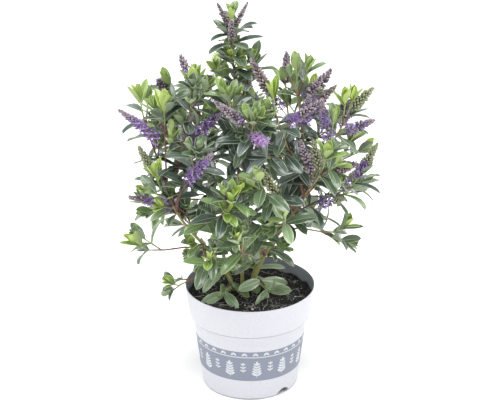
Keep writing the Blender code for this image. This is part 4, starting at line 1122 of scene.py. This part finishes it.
def bud_tones(tone, share, wobble):
    """Each bud's two tones, its calyx and itself. All but cream and green buds are mixed with pink and dusky
    ones, and a violet or magenta spike is paler at its tip and darker in its calyces."""
    main = np.full(len(share), tone)
    if tone not in (CREAM, GREEN):
        main = np.where(wobble[:, 1] > 0.6, PINK, main)
        main = np.where(wobble[:, 2] > 0.75, DUSK, main)
    calyx = CALYX
    if tone in (VIOLET, MAGENTA):
        main = np.where(share > TIP_FROM, MAUVE if tone == VIOLET else PINK, main)
        calyx = DUSK
    return np.stack([np.full(len(share), calyx), main], axis=-1)


def flower_tones(tone, wobble):
    """Each open flower's four tones: its sepals, two of its lobes, the other two and its stamens."""
    deep, pale, other = OPEN_VIOLET, LILAC, DEEP_VIOLET
    if tone == MAGENTA:
        deep, pale, other = OPEN_MAGENTA, ROSE_LILAC, OPEN_VIOLET
    deeper = np.where(wobble[:, 2] > 0.3, other, deep)
    paler = np.where(wobble[:, 1] > 0.0, pale, deeper)
    count = len(wobble)
    return np.stack([np.full(count, SEPALS), deeper, paler, np.full(count, STAMENS)], axis=-1)


bud_rings = [(0.0, 0.0), (0.16, 0.30), (0.42, 0.40), (0.74, 0.50), (0.92, 0.30), (1.0, 0.0)]
bud_points, fans, sides = spindle(bud_rings, BUD_SIDES)
bud_groups = [(fans[:BUD_SIDES], 0), (sides[:BUD_SIDES], 0), (sides[BUD_SIDES:], 1), (fans[BUD_SIDES:], 1)]

tube_rings = [(0.0, 0.0), (0.10, 0.17), (0.42, 0.12), (0.60, 0.26), (0.64, 0.0)]
points, fans, sides = spindle(tube_rings, BUD_SIDES)
tube_groups = [(fans[:BUD_SIDES], 0), (sides[:BUD_SIDES], 0), (sides[BUD_SIDES:], 1), (fans[BUD_SIDES:], 2)]
flower_shapes = [(points, tube_groups)]
for quarter in range(4):
    angle = math.pi / 4 + quarter * math.pi / 2
    outward = np.array([math.cos(angle), math.sin(angle), 0.0])
    beside = np.array([-outward[1], outward[0], 0.0])
    foot, tip = outward * 0.12 + (0.0, 0.0, 0.56), outward + (0.0, 0.0, 0.74)
    points, faces = lobe(foot, tip, beside * 0.38, (0.0, 0.0, 0.035))
    flower_shapes.append((points, [(faces, 1 + quarter % 2)]))
for lean in (-1.0, 1.0):
    foot, tip = (0.0, 0.06 * lean, 0.5), (0.12, 0.36 * lean, 1.22)
    points, faces = lobe(foot, tip, (0.045, 0.0, 0.0), (0.0, 0.045, 0.0))
    flower_shapes.append((points, [(faces, 3)]))
flower_points, flower_faces = joined(flower_shapes)
flower_groups = []
for corners, parts in flower_faces:
    for part in np.unique(parts):
        flower_groups.append((corners[parts == part], part))

# Closed buds are matt and velvety, in dull mauves, browns and greens, each with a darker foot and calyx
bud_colours = (("violet", "#8d7ca0"), ("mauve", "#9a8b96"), ("brown", "#8b7e77"), ("green", "#989e80"),
               ("cream", "#bcbf97"), ("magenta", "#a281ae"), ("calyx", "#565049"), ("pink", "#afa1a6"),
               ("dusk", "#625a6b"))
bud_finishes = [surface("bud_" + word, colour, (0.6, 0.8), 0.6, 0.05) for word, colour in bud_colours]
CALYX, PINK, DUSK = 6, 7, 8
# Open lobes are thin and satin, a violet that pales as the flower ages, with pale stamens
flower_colours = (("calyx", "#665768"), ("violet", "#7c5aa3"), ("lilac", "#a188bf"), ("stamen", "#c0b6cd"),
                  ("deep_violet", "#68478c"), ("magenta", "#9b6aaa"), ("rose_lilac", "#af8aba"))
flower_finishes = [surface("flower_" + word, colour, (0.45, 0.65), 0.8, 0.04)
                   for word, colour in flower_colours]
SEPALS, OPEN_VIOLET, LILAC, STAMENS, DEEP_VIOLET, OPEN_MAGENTA, ROSE_LILAC = range(7)
# The stalk is soft and green-brown
stalk_finish = surface("flower_stalk", "#7d7f55", (0.5, 0.65), 0.9, 0.04)

bud_shapes, flower_sets, stalk_shapes = [], [], []
spike_samples = []
for name, key, stem, _, _, spikes in shoots:
    stations = pair_stations(stem)
    for number, (pair, bearing, rise, reach, bloom, tone) in enumerate(spikes):
        if pair >= len(stations):
            continue
        point = np.array(stem.at(stations[pair])[0])
        level = np.array([math.cos(math.radians(bearing)), math.sin(math.radians(bearing)), 0.0])
        way = level + np.array([0.0, 0.0, math.tan(math.radians(rise))])
        way /= np.linalg.norm(way)
        slim, close = USUAL_SLIM, USUAL_CLOSE
        if name == "leader":
            slim, close = LEADER_SIDE_SLIM if number < 2 else LEADER_SLIM, LEADER_CLOSE
        stalk = STALK * (SHORT_STALK if reach > LONG_SPIKE or reach < SHORT_SPIKE else 1.0)
        run = np.linspace(0.0, reach, STALK_ROWS)
        radii = np.interp(run, (0.0, stalk, reach), STALK_RADII)
        points, faces, caps = carried(spike_points(point, way, run, reach), radii, STALK_SIDES)
        stalk_shapes.append((points, [(faces, 0), (np.concatenate(caps), 0)]))

        opening = stalk + (reach - stalk) * bloom
        flowers, buds = np.arange(stalk, opening, FLOWER_PITCH), np.arange(opening, reach, BUD_PITCH * close)
        at = np.concatenate([flowers, buds])
        count = len(at)
        share = (at - stalk) / (reach - stalk)
        centre = spike_points(point, way, at, reach)
        turn = GOLDEN_TURN * np.arange(count) + 6.0 * chance(key + pair + number * 0.1, 30)
        near = (0.13, 0.21, 0.97) if abs(way[2]) < 0.9 else (1.0, 0.1, 0.0)
        side, up, ahead = frames(way[None], np.array([near]))
        radial = np.cos(turn)[:, None] * side + np.sin(turn)[:, None] * up
        wobble = random.normal(0.0, 1.0, (count, 3))
        opened = (share < bloom + 0.07 * wobble[:, 0]) & (wobble[:, 1] < 1.3) & (bloom > 0.0)
        tilt = np.radians(np.interp(share, (0.0, 0.5, 1.0), BUD_TILTS) + 6.0 * wobble[:, 1])
        heading = np.cos(tilt)[:, None] * ahead + np.sin(tilt)[:, None] * radial
        roots = centre + radial * BUD_ROOT
        across, out, along = frames(heading, ahead + 0.0 * heading)

        full = np.interp(share, (0.0, 0.12, 0.45, 0.82, 1.0), BUD_FULLNESS)
        length = BUD_LENGTH * full * slim * (1.0 + 0.07 * wobble[:, 2])
        width = length * BUD_WIDTH + BUD_WIDTH_LEAST * slim
        kept = ~opened
        measures = roots[kept], across[kept], out[kept], along[kept], width[kept], length[kept]
        bud_shapes.append(repeated(bud_points, bud_groups, *measures, bud_tones(tone, share, wobble)[kept]))
        if opened.any():
            length = np.interp(share, (0.0, bloom), FLOWER_LENGTHS) * (1.0 + 0.14 * wobble[:, 1])
            width = np.full(count, FLOWER_WIDTH)
            kept = opened
            measures = roots[kept], across[kept], out[kept], along[kept], width[kept], length[kept]
            tones = flower_tones(tone, wobble)[kept]
            flower_sets.append(repeated(flower_points, flower_groups, *measures, tones))
        spike_samples.append((name, centre[::6], np.full(len(centre[::6]), SPIKE_CLEAR)))
for name, shapes, finishes in (("flower_buds", bud_shapes, bud_finishes),
                               ("open_flowers", flower_sets, flower_finishes),
                               ("flower_stalks", stalk_shapes, [stalk_finish])):
    points, faces = joined(shapes)
    piece = new_piece(name, points, faces, finishes, sharp=60.0)
    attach(piece, "root")
    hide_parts(*foliage_nodes)


# Leaves
# Thick evergreen blades in crossed pairs, broadest past their middle, folded a little along a pale midrib.
# Those at a bud are lime green and stand up round it as a cup; older ones are dark, glossy and bent back.
LEAF_SIZES = (0.32, 0.50, 0.80, 0.98, 1.05, 1.0)
SIZE_VARIES = 0.09
LEAF_LENGTH = 0.0400
LEAF_WIDTH = 0.0150
SMALL_LEAF_WIDTH = 0.58
WIDTH_VARIES = 0.08
LEAF_THICK = 0.00042
# Width of the pale strip at each leaf edge: a painted highlight where the edge would catch the light
MARGIN_HIGHLIGHT_WIDTH = 0.00042
MIDRIB = 0.00042
# A leaf's bend and fold along its midrib, in radians: when young, when old and how far each varies
YOUNG_BEND = 0.50
OLD_BEND = -0.55
BEND_VARIES = 0.22
YOUNG_FOLD = 0.40
OLD_FOLD = 0.34
FOLD_VARIES = 0.12
SWAY = 0.05
LEAF_SINK = 0.035
FACE_TO_TIP = 0.7
FACE_TO_SKY = 0.5
LEVEL_OFF = -0.12
LIFTED_SHARE = 0.85
BUD_AGE = 0.9
LEAF_TURNS = (0.0, 14.0, -14.0, 30.0, -30.0, 46.0)
LEAF_CLEAR = 0.0023
BUD_LEAF_CLEAR = 0.0012
LIMB_CLEAR = 0.0004
SIGHT_CLEAR = 0.0050
STEM_SIGHT_CLEAR = 0.0034
EYE = np.array([0.0, -2.699, 1.450])
LEAF_ROWS = np.array([0.0, 0.08, 0.24, 0.42, 0.60, 0.77, 0.90, 1.0])
LEAF_SAMPLES = ((0.30, 0.0), (0.60, 0.0), (0.96, 0.0), (0.55, 0.75), (0.55, -0.75))
ROOM_SIZE = 60000
ROOM_NEAR = 0.03
SMALL_TIPS = ("leader", "front_shoulder", "top_right", "top_left")
SMALL_TIP_SIZE = 0.72
RIM_LEAF_SIZE = 0.58
FOOT_SHOOTS = ("foot_left", "foot_right")
LEADER_SLENDER = 0.66
LEADER_BETWEEN_OPENING = 0.55
STEM_LEAVES_ABOVE = 0.215
STEM_LEAVES_FROM = 0.016
STEM_LEAF_SPACING = 0.0115
STEM_PAIR_CHANCE = 0.6
STEM_LEAF_CHANCE = 0.85
FOOT_LEAF_WIDTH = 0.40
FOOT_LEAF_FOLD = 0.24
FOOT_LEAF_SWAY = 0.03
# The leaf tints: grey is partly painted sheen, and pale is partly painted light for leaves in the crown's
# shade
LIME, BRIGHT, FRESH, MIDDLE, DARK, GREY_SHEEN, PALE_PAINTED_LIGHT = range(7)
# The tints of bud leaves and of young leaves, by how far the tip has greened, then the mix of old leaves,
# whose grey tint is partly painted sheen
BUD_TINTS = (LIME, BRIGHT, FRESH)
YOUNG_TINTS = (BRIGHT, FRESH, MIDDLE)
OLD_TINTS = (MIDDLE, DARK, DARK, GREY_SHEEN)
# Low leaves take lighter tints than old leaves higher up, the pale one among them: painted light that lifts
# the crown's shade off them
LOW_TINTS_PAINTED_LIGHT = (MIDDLE, FRESH, PALE_PAINTED_LIGHT, MIDDLE)
# Leaves left on the stems: the grey tint among them is partly painted sheen
STEM_TINTS = (DARK, MIDDLE, GREY_SHEEN)
# Leaves at the foot of the plant: stem, height up it, bearing, rise, length, bend and tint. Their pale tint
# is lightened as painted light against the crown's shade, and their grey tint is partly painted sheen.
FOOT_LEAVES = (
    ("stem_left", 0.034, 219, -24, 0.042, -0.3, PALE_PAINTED_LIGHT), ("stem_left", 0.012, -45, -13, 0.036, -0.2, FRESH),
    ("stem_left", 0.006, 235, -3, 0.030, -0.1, FRESH), ("stem_left", 0.052, 188, -8, 0.037, -0.5, PALE_PAINTED_LIGHT),
    ("stem_left", 0.056, -12, 6, 0.035, -0.5, PALE_PAINTED_LIGHT), ("stem_left", 0.078, 250, 10, 0.034, -0.5, MIDDLE),
    ("stem_right", 0.042, 207, -7, 0.043, -0.4, PALE_PAINTED_LIGHT), ("stem_right", 0.014, -50, -15, 0.037, -0.2, PALE_PAINTED_LIGHT),
    ("stem_right", 0.006, 278, -4, 0.033, -0.1, FRESH), ("stem_right", 0.062, -26, -8, 0.043, -0.6, MIDDLE),
    ("stem_right", 0.026, 130, 20, 0.036, -0.4, MIDDLE), ("stem_back_right", 0.014, 2, 9, 0.040, -0.3, PALE_PAINTED_LIGHT),
    ("stem_back_right", 0.032, 70, 12, 0.038, -0.5, GREY_SHEEN),
    ("stem_back_left", 0.020, 128, 10, 0.038, -0.4, PALE_PAINTED_LIGHT),
    ("stem_back_left", 0.038, 205, 16, 0.036, -0.5, MIDDLE),
    ("stem_middle", 0.030, 250, 24, 0.036, -0.6, GREY_SHEEN), ("stem_middle", 0.046, 20, 28, 0.036, -0.5, MIDDLE),
)


def leaf_width(run):
    """The outline's share of its full width at this share of its length: run^0.76 (1 - run)^0.62, scaled to 1
    at its widest, with a stalk's width at the foot."""
    shape = run ** 0.76 * (1.0 - run) ** 0.62 / (0.5507 ** 0.76 * 0.4493 ** 0.62)
    return np.maximum(shape, np.interp(run, (0.0, 0.5, 1.0), (0.13, 0.13, 0.03)))


def blade_places(root, along, out, length, width, bend, fold, run, side):
    """Points of blades at a share run of the length and side of the half width. The midline is an arc that
    turns by bend towards out, and each half rises from it by the angle fold."""
    across = np.cross(out, along)
    bend = np.where(np.abs(bend) < 0.01, 0.01, bend)
    phi = bend * run
    ahead = length * np.sin(phi) / bend
    lift = length * (1.0 - np.cos(phi)) / bend
    half = width / 2 * leaf_width(run) * side
    beside = half * np.cos(fold)
    raised = np.abs(half) * np.sin(fold)
    forward = along * (ahead - raised * np.sin(phi))[..., None]
    upward = out * (lift + raised * np.cos(phi))[..., None]
    return root + forward + upward + across * beside[..., None]


def blades(leaves):
    """All the leaves of one tint at once. Each is a flat nine-cornered tube carried along its midline: eight
    corners across the top, with a pale strip on the midrib and a strip of painted highlight at each edge, and
    one corner under it."""
    parts = ("root", "along", "out", "length", "width", "bend", "fold", "sway")
    stacks = [np.array([leaf[part] for leaf in leaves])[:, None, None] for part in parts]
    root, along, out, length, width, bend, fold, sway = stacks
    run = LEAF_ROWS[None, :, None] * np.ones((len(leaves), 1, 9))
    half = width[..., 0] / 2 * leaf_width(run[..., 4])
    rib = np.clip(MIDRIB * (1.1 - run[..., 4]) / half, 0.02, 0.3)
    edge = 1.0 - np.clip(MARGIN_HIGHLIGHT_WIDTH / half, 0.03, 0.4)
    between = 0.5 * (edge + rib)
    one = np.ones_like(rib)
    side = np.stack([-one, -edge, -between, -rib, rib, between, edge, one, np.zeros_like(rib)], axis=-1)
    points = blade_places(root, along, out, length, width, bend, fold, run, side)
    domed = np.array([0.0, 0.7, 1.0, 0.0, 0.0, 1.0, 0.7, 0.0, 0.0])
    waved = np.array([1.0, 1.0, 0.4, 0.0, 0.0, 0.4, 1.0, 1.0, 0.0])
    deep = np.array([0.0, 0.0, 0.0, 0.30, 0.30, 0.0, 0.0, 0.0, -1.0])
    round_off = domed * leaf_width(run) * width * 0.04
    ripple = sway * width * side * np.sin(run * 8.0 + sway * 40.0) * waved
    thick = deep * LEAF_THICK * np.interp(run, (0.0, 0.2, 1.0), (1.9, 1.0, 0.4))
    phi = bend * run
    normal = out * np.cos(phi)[..., None] - along * np.sin(phi)[..., None]
    points = points + normal * (thick + round_off + ripple)[..., None]
    count, rows = len(leaves), len(LEAF_ROWS)
    start = np.arange(count)[:, None, None] * rows * 9
    around = (quads(rows, 9)[None] + start).reshape(-1, 4)
    # Finish 1 serves the pale midrib and the strip at each edge, which is a painted highlight; finish 2 is
    # the underside
    strips = np.tile(np.tile([1, 0, 0, 1, 0, 0, 1, 2, 2], rows - 1), count)
    ends = np.array([np.arange(9), (rows - 1) * 9 + np.arange(9)[::-1]])
    uv = np.stack([0.5 + side / 2, run], axis=-1).reshape(-1, 2)
    return points.reshape(-1, 3), [(around, strips), ((ends[None] + start).reshape(-1, 9), 1)], uv


class Room:
    """What is taken so far: sample points, each with its clear distance and the key of what it belongs to.
    What the photograph shows of spikes and stems is kept apart, with the distance left free before it."""

    def __init__(self, shown, shown_clear):
        self.points = np.zeros((ROOM_SIZE, 3))
        self.clear = np.zeros(ROOM_SIZE)
        self.owner = np.zeros(ROOM_SIZE)
        self.count = 0
        self.shown = shown
        self.shown_clear = shown_clear

    def take(self, points, clear, owner):
        """Keep these sample points."""
        end = self.count + len(points)
        self.points[self.count:end] = points
        self.clear[self.count:end] = clear
        self.owner[self.count:end] = owner
        self.count = end

    def hides(self, points):
        """Whether one of these points would stand before a spike or stem that the photograph shows."""
        apart = points[:, None] - self.shown[None]
        sight = EYE - self.shown
        sight = sight / np.linalg.norm(sight, axis=1, keepdims=True)
        ahead = (apart * sight[None]).sum(axis=2)
        beside = np.linalg.norm(apart - ahead[..., None] * sight[None], axis=2)
        return bool(((ahead > 0.0) & (beside < self.shown_clear)).any())

    def crowded(self, points, clear, owner):
        """How many of these points come too near to those of another owner."""
        near = np.abs(self.points[:self.count] - points.mean(axis=0)).max(axis=1) < ROOM_NEAR
        near &= self.owner[:self.count] != owner
        apart = np.linalg.norm(points[:, None] - self.points[:self.count][near][None], axis=-1)
        return int((apart < clear + self.clear[:self.count][near][None]).any(axis=1).sum())


# What stays in sight: the spikes that the photograph shows, and the bare stretches of three stems, by height
seen = []
for name, line, _ in spike_samples:
    if "back" not in name or name in ("back_right", "back_left_top"):
        seen.append((line, SIGHT_CLEAR))
for (line, _), low, high in zip(limb_samples, (0.175, 0.145, 0.140), (0.280, 0.320, 0.175)):
    seen.append((line[(line[:, 2] > low) & (line[:, 2] < high)], STEM_SIGHT_CLEAR))
room = Room(np.concatenate([line for line, _ in seen]),
            np.concatenate([np.full(len(line), clear) for line, clear in seen]))
owners = [-1.0 - number for number in range(len(limb_samples) - len(leafy_twigs))]
owners += [row[1] for row in leafy_twigs]
for (line, radii), owner in zip(limb_samples, owners):
    room.take(line, np.maximum(radii, LIMB_CLEAR), owner)
for number, (_, line, radii) in enumerate(spike_samples):
    room.take(line, radii, -1000.0 - number)


def grow_leaf(key, axil, age, sense, size, tint, must, slender=1.0):
    """A leaf at this axil, turned a little where it would crowd a neighbour, or None. One that would hang is
    lifted nearly level, as its stalk turns it to the light."""
    point, axis, ways = axil
    grown = float(np.interp(age, PAIR_AGES, LEAF_SIZES)) * size
    grown *= 1.0 + spread(SIZE_VARIES, key, int(age), sense + 5.0)
    length = LEAF_LENGTH * grown
    broad = SMALL_LEAF_WIDTH + (1.0 - SMALL_LEAF_WIDTH) * grown
    width = slender * LEAF_WIDTH * broad * (1.0 + spread(WIDTH_VARIES, key, age, sense + 50.0))
    lift = axis * FACE_TO_TIP + UP * FACE_TO_SKY
    young = max(0.0, 1.0 - age / 2.0)
    bend = YOUNG_BEND * young + OLD_BEND * (1.0 - young) + spread(BEND_VARIES, key, age, sense + 60.0)
    fold = YOUNG_FOLD * young + OLD_FOLD * (1.0 - young) + spread(FOLD_VARIES, key, age, sense + 61.0)
    run, side = np.array(LEAF_SAMPLES).T
    best = None
    for turn in LEAF_TURNS:
        heading = Matrix.Rotation(math.radians(turn), 3, axis) @ ways[sense]
        heading = (heading - UP * LEAF_SINK * min(max(age, 0.0), 3.0)).normalized()
        if heading.z < LEVEL_OFF:
            heading = (heading + UP * (LEVEL_OFF - heading.z) * LIFTED_SHARE).normalized()
        _, out, along = frames(np.array(heading)[None], np.array(lift)[None])
        samples = blade_places(np.array(point)[None], along, out, length, width, bend, fold, run, side)
        crowd = room.crowded(samples, LEAF_CLEAR if age > BUD_AGE else BUD_LEAF_CLEAR, key)
        if best is None or crowd < best[0]:
            best = (crowd, samples, along[0], out[0])
        if crowd == 0:
            break
    crowd, samples, along, out = best
    if crowd > (1 if must else 0) or (not must and room.hides(samples)):
        return None
    room.take(samples, LEAF_CLEAR / 2, key)
    sway = spread(SWAY, key, age, sense + 62.0)
    return dict(root=np.array(point), along=along, out=out, length=length, width=width, bend=bend, fold=fold,
                sway=sway, tint=tint)


def leaf_tint(age, tip, key, low):
    """A leaf's tint by its age, by how green its tip has turned and by whether it grows low on the plant,
    where lighter tints are painted light against the crown's shade.
    """
    varied = age + spread(0.4, key, age, 40.0)
    if varied < 0.75:
        return BUD_TINTS[tip]
    if varied < 1.3:
        return YOUNG_TINTS[tip]
    if varied < 2.2:
        return FRESH if tip == LIME_TIP and chance(key, 41) < 0.6 else MIDDLE
    return (LOW_TINTS_PAINTED_LIGHT if low else OLD_TINTS)[int(chance(key, age, 43) * 4)]


# Every pair that may hold leaves. The youngest and largest grow first, so that the crown's outside is whole.
waiting = []
for name, key, twig, _, size, pairs, aged, tip in leafy_twigs:
    stations = pair_stations(twig)
    steps = [0.0, 0.5] + list(range(1, len(stations)))
    if name == "inner":
        steps = list(range(len(stations)))
    if name in FOOT_SHOOTS:
        steps = [0.5, 1.5, 3.0]
    if name == "leader" and size == 1.0:
        steps += [0.25] + [step + 0.5 for step in range(1, len(stations) - 1)]
    for step in steps:
        if step < min(pairs, len(stations)):
            fit = SMALL_TIP_SIZE if name in SMALL_TIPS and step < 1 else 1.0
            if name == "rim_left":
                fit = RIM_LEAF_SIZE
            distance = float(np.interp(step, np.arange(len(stations)), stations))
            waiting.append((step + aged, key, twig, distance, size * fit, tip, name))
waiting.sort(key=lambda row: (row[0] + (1.0 - row[4]) * 3.0, row[1]))

grown = []
for age, key, twig, distance, size, tip, name in waiting:
    young = age < BUD_AGE
    between = name == "leader" and age > 1 and age % 1.0
    axil = pair_ways(twig, distance, age, key, LEADER_BETWEEN_OPENING if between else 1.0)
    tint = leaf_tint(age, tip, key, twig.line[-1, 2] < LOOSE_BELOW)
    # The foot shoots' older leaves take the pale tint, lightened as painted light in the crown's shade
    if name in FOOT_SHOOTS:
        tint = PALE_PAINTED_LIGHT if age > 1.0 else FRESH
    slender = LEADER_SLENDER if name == "leader" and young else 1.0
    for sense in (0, 1):
        grown.append(grow_leaf(key, axil, age, sense, size, tint, young, slender))

# Older leaves that have stayed on the main stems and the boughs
for order, limb in enumerate(list(limbs.values()) + bearers):
    key = 700.0 + order
    for step, distance in enumerate(np.arange(STEM_LEAVES_FROM, limb.length, STEM_LEAF_SPACING)):
        age = 4.0 + (step % 2)
        axil = pair_ways(limb, distance, age, key + step * 0.01)
        if axil[0].z > STEM_LEAVES_ABOVE and chance(key, step, 1) < STEM_PAIR_CHANCE:
            for sense in (0, 1):
                if chance(key, step, sense + 2) < STEM_LEAF_CHANCE:
                    tint = STEM_TINTS[int(chance(key, step, sense + 6) * 3)]
                    size = 0.75 + 0.25 * chance(key, step, sense + 8)
                    grown.append(grow_leaf(key, axil, age, sense, size, tint, False))
grown = [leaf for leaf in grown if leaf]

for stem_name, distance, bearing, rise, length, bend, tint in FOOT_LEAVES:
    _, out, along = frames(np.array([toward(bearing, rise)]), np.array([UP]))
    root = np.array(limbs[stem_name].at(distance)[0])
    grown.append(dict(root=root, along=along[0], out=out[0], length=length, width=length * FOOT_LEAF_WIDTH,
                      bend=bend, fold=FOOT_LEAF_FOLD, sway=FOOT_LEAF_SWAY * math.sin(bearing), tint=tint))

# Leaf blades: leathery, with a waxy coat that shines; the young ones are softer and brighter. The grey tint
# is dark leaf lightened towards grey as painted sheen.
# Each tint has a colour for the top, the underside and the midrib. The midrib's colour also paints the strip
# at each edge as a painted highlight, while the pale midrib itself is the leaf's own.
leaf_colours = (("lime", "#96ae47", "#a9bd6b", "#c8d68c"), ("bright", "#7d9948", "#9bae72", "#bbc990"),
                ("fresh", "#6d8854", "#91a07d", "#b0bb94"), ("middle", "#53684b", "#88967e", "#a9b49a"),
                # grey: a grey-green top lightened as painted sheen
                ("dark", "#3f5044", "#7f8b7b", "#a3af9a"), ("grey", "#6b7872", "#929e92", "#c0c8b9"),
                # pale: a pale grey-green lightened further as painted light for leaves in the crown's shade
                ("pale", "#95ad85", "#a8b79b", "#d0dabf"))
for tint, (word, top_colour, under_colour, rib_and_edge_highlight_colour) in enumerate(leaf_colours):
    shine = (0.25, 0.36) if tint > BRIGHT else (0.34, 0.46)
    wax = {"Coat_Weight": 1.0, "Coat_Roughness": 0.13}
    finishes = [surface("leaf_%s_top" % word, top_colour, shine, 1.5, 0.05, **wax),
                surface("leaf_%s_midrib" % word, rib_and_edge_highlight_colour, (0.45, 0.6), 1.0, 0.03),
                surface("leaf_%s_underside" % word, under_colour, (0.55, 0.7), 1.5, 0.05)]
    points, faces, uv = blades([leaf for leaf in grown if leaf["tint"] == tint])
    piece = new_piece("leaves_" + word, points, faces, finishes, uv, sharp=55.0)
    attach(piece, "root")
    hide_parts(*foliage_nodes)


# Floor, light and camera
# A pale plain floor that meets a white surround, soft light from both sides and above, and a camera that
# looks down on the plant by 23.8 degrees from 3 m away, as the photograph was taken.
FLOOR_REACH = 4.0
FLOOR_BELOW = 0.0004
LAMPS_AIM = Vector((0.0, 0.0, 0.22))
# Name, place, size and power
LAMPS = (
    ("left_softbox", (-1.5, 0.1, 1.0), 1.2, 13.5), ("right_softbox", (1.5, 0.1, 1.0), 1.2, 13.5),
    ("left_fill", (-1.5, -1.6, 0.5), 1.0, 8.0), ("right_fill", (1.5, -1.6, 0.5), 1.0, 8.0),
)

corners = ((-1, -1), (1, -1), (1, 1), (-1, 1))
points = np.array([(x * FLOOR_REACH, y * FLOOR_REACH, -FLOOR_BELOW) for x, y in corners])
floor_finish = surface("pale_floor", "#f4f4f4", (0.8, 0.9), 40.0, 0.0)
floor = new_piece("floor", points, [(np.array([[0, 1, 2, 3]]), 0)], [floor_finish])

world = bpy.context.scene.world or bpy.data.worlds.new("surround")
bpy.context.scene.world = world
world.use_nodes = True
surround = world.node_tree.nodes["Background"].inputs
surround["Color"].default_value = (1.0, 1.0, 1.0, 1.0)
surround["Strength"].default_value = 0.62

overhead = bpy.data.lights.new("overhead_light", "SUN")
overhead.energy = 3.0
overhead.angle = math.radians(50.0)
holder = bpy.data.objects.new("overhead_light", overhead)
holder.rotation_euler = (math.radians(12.0), 0.0, 0.0)
bpy.context.scene.collection.objects.link(holder)
for name, place, size, power in LAMPS:
    lamp = bpy.data.lights.new(name, "AREA")
    lamp.size = size
    lamp.energy = power
    holder = bpy.data.objects.new(name, lamp)
    holder.location = place
    holder.rotation_euler = (LAMPS_AIM - Vector(place)).to_track_quat("-Z", "Y").to_euler()
    bpy.context.scene.collection.objects.link(holder)

camera = bpy.data.cameras.new("camera")
camera.sensor_width = 36.0
camera.lens = 164.16
eye = bpy.data.objects.new("camera", camera)
eye.location = EYE
eye.rotation_euler = (math.radians(66.2), 0.0, 0.0)
bpy.context.scene.collection.objects.link(eye)
bpy.context.scene.camera = eye
bpy.context.scene.view_settings.view_transform = "Standard"
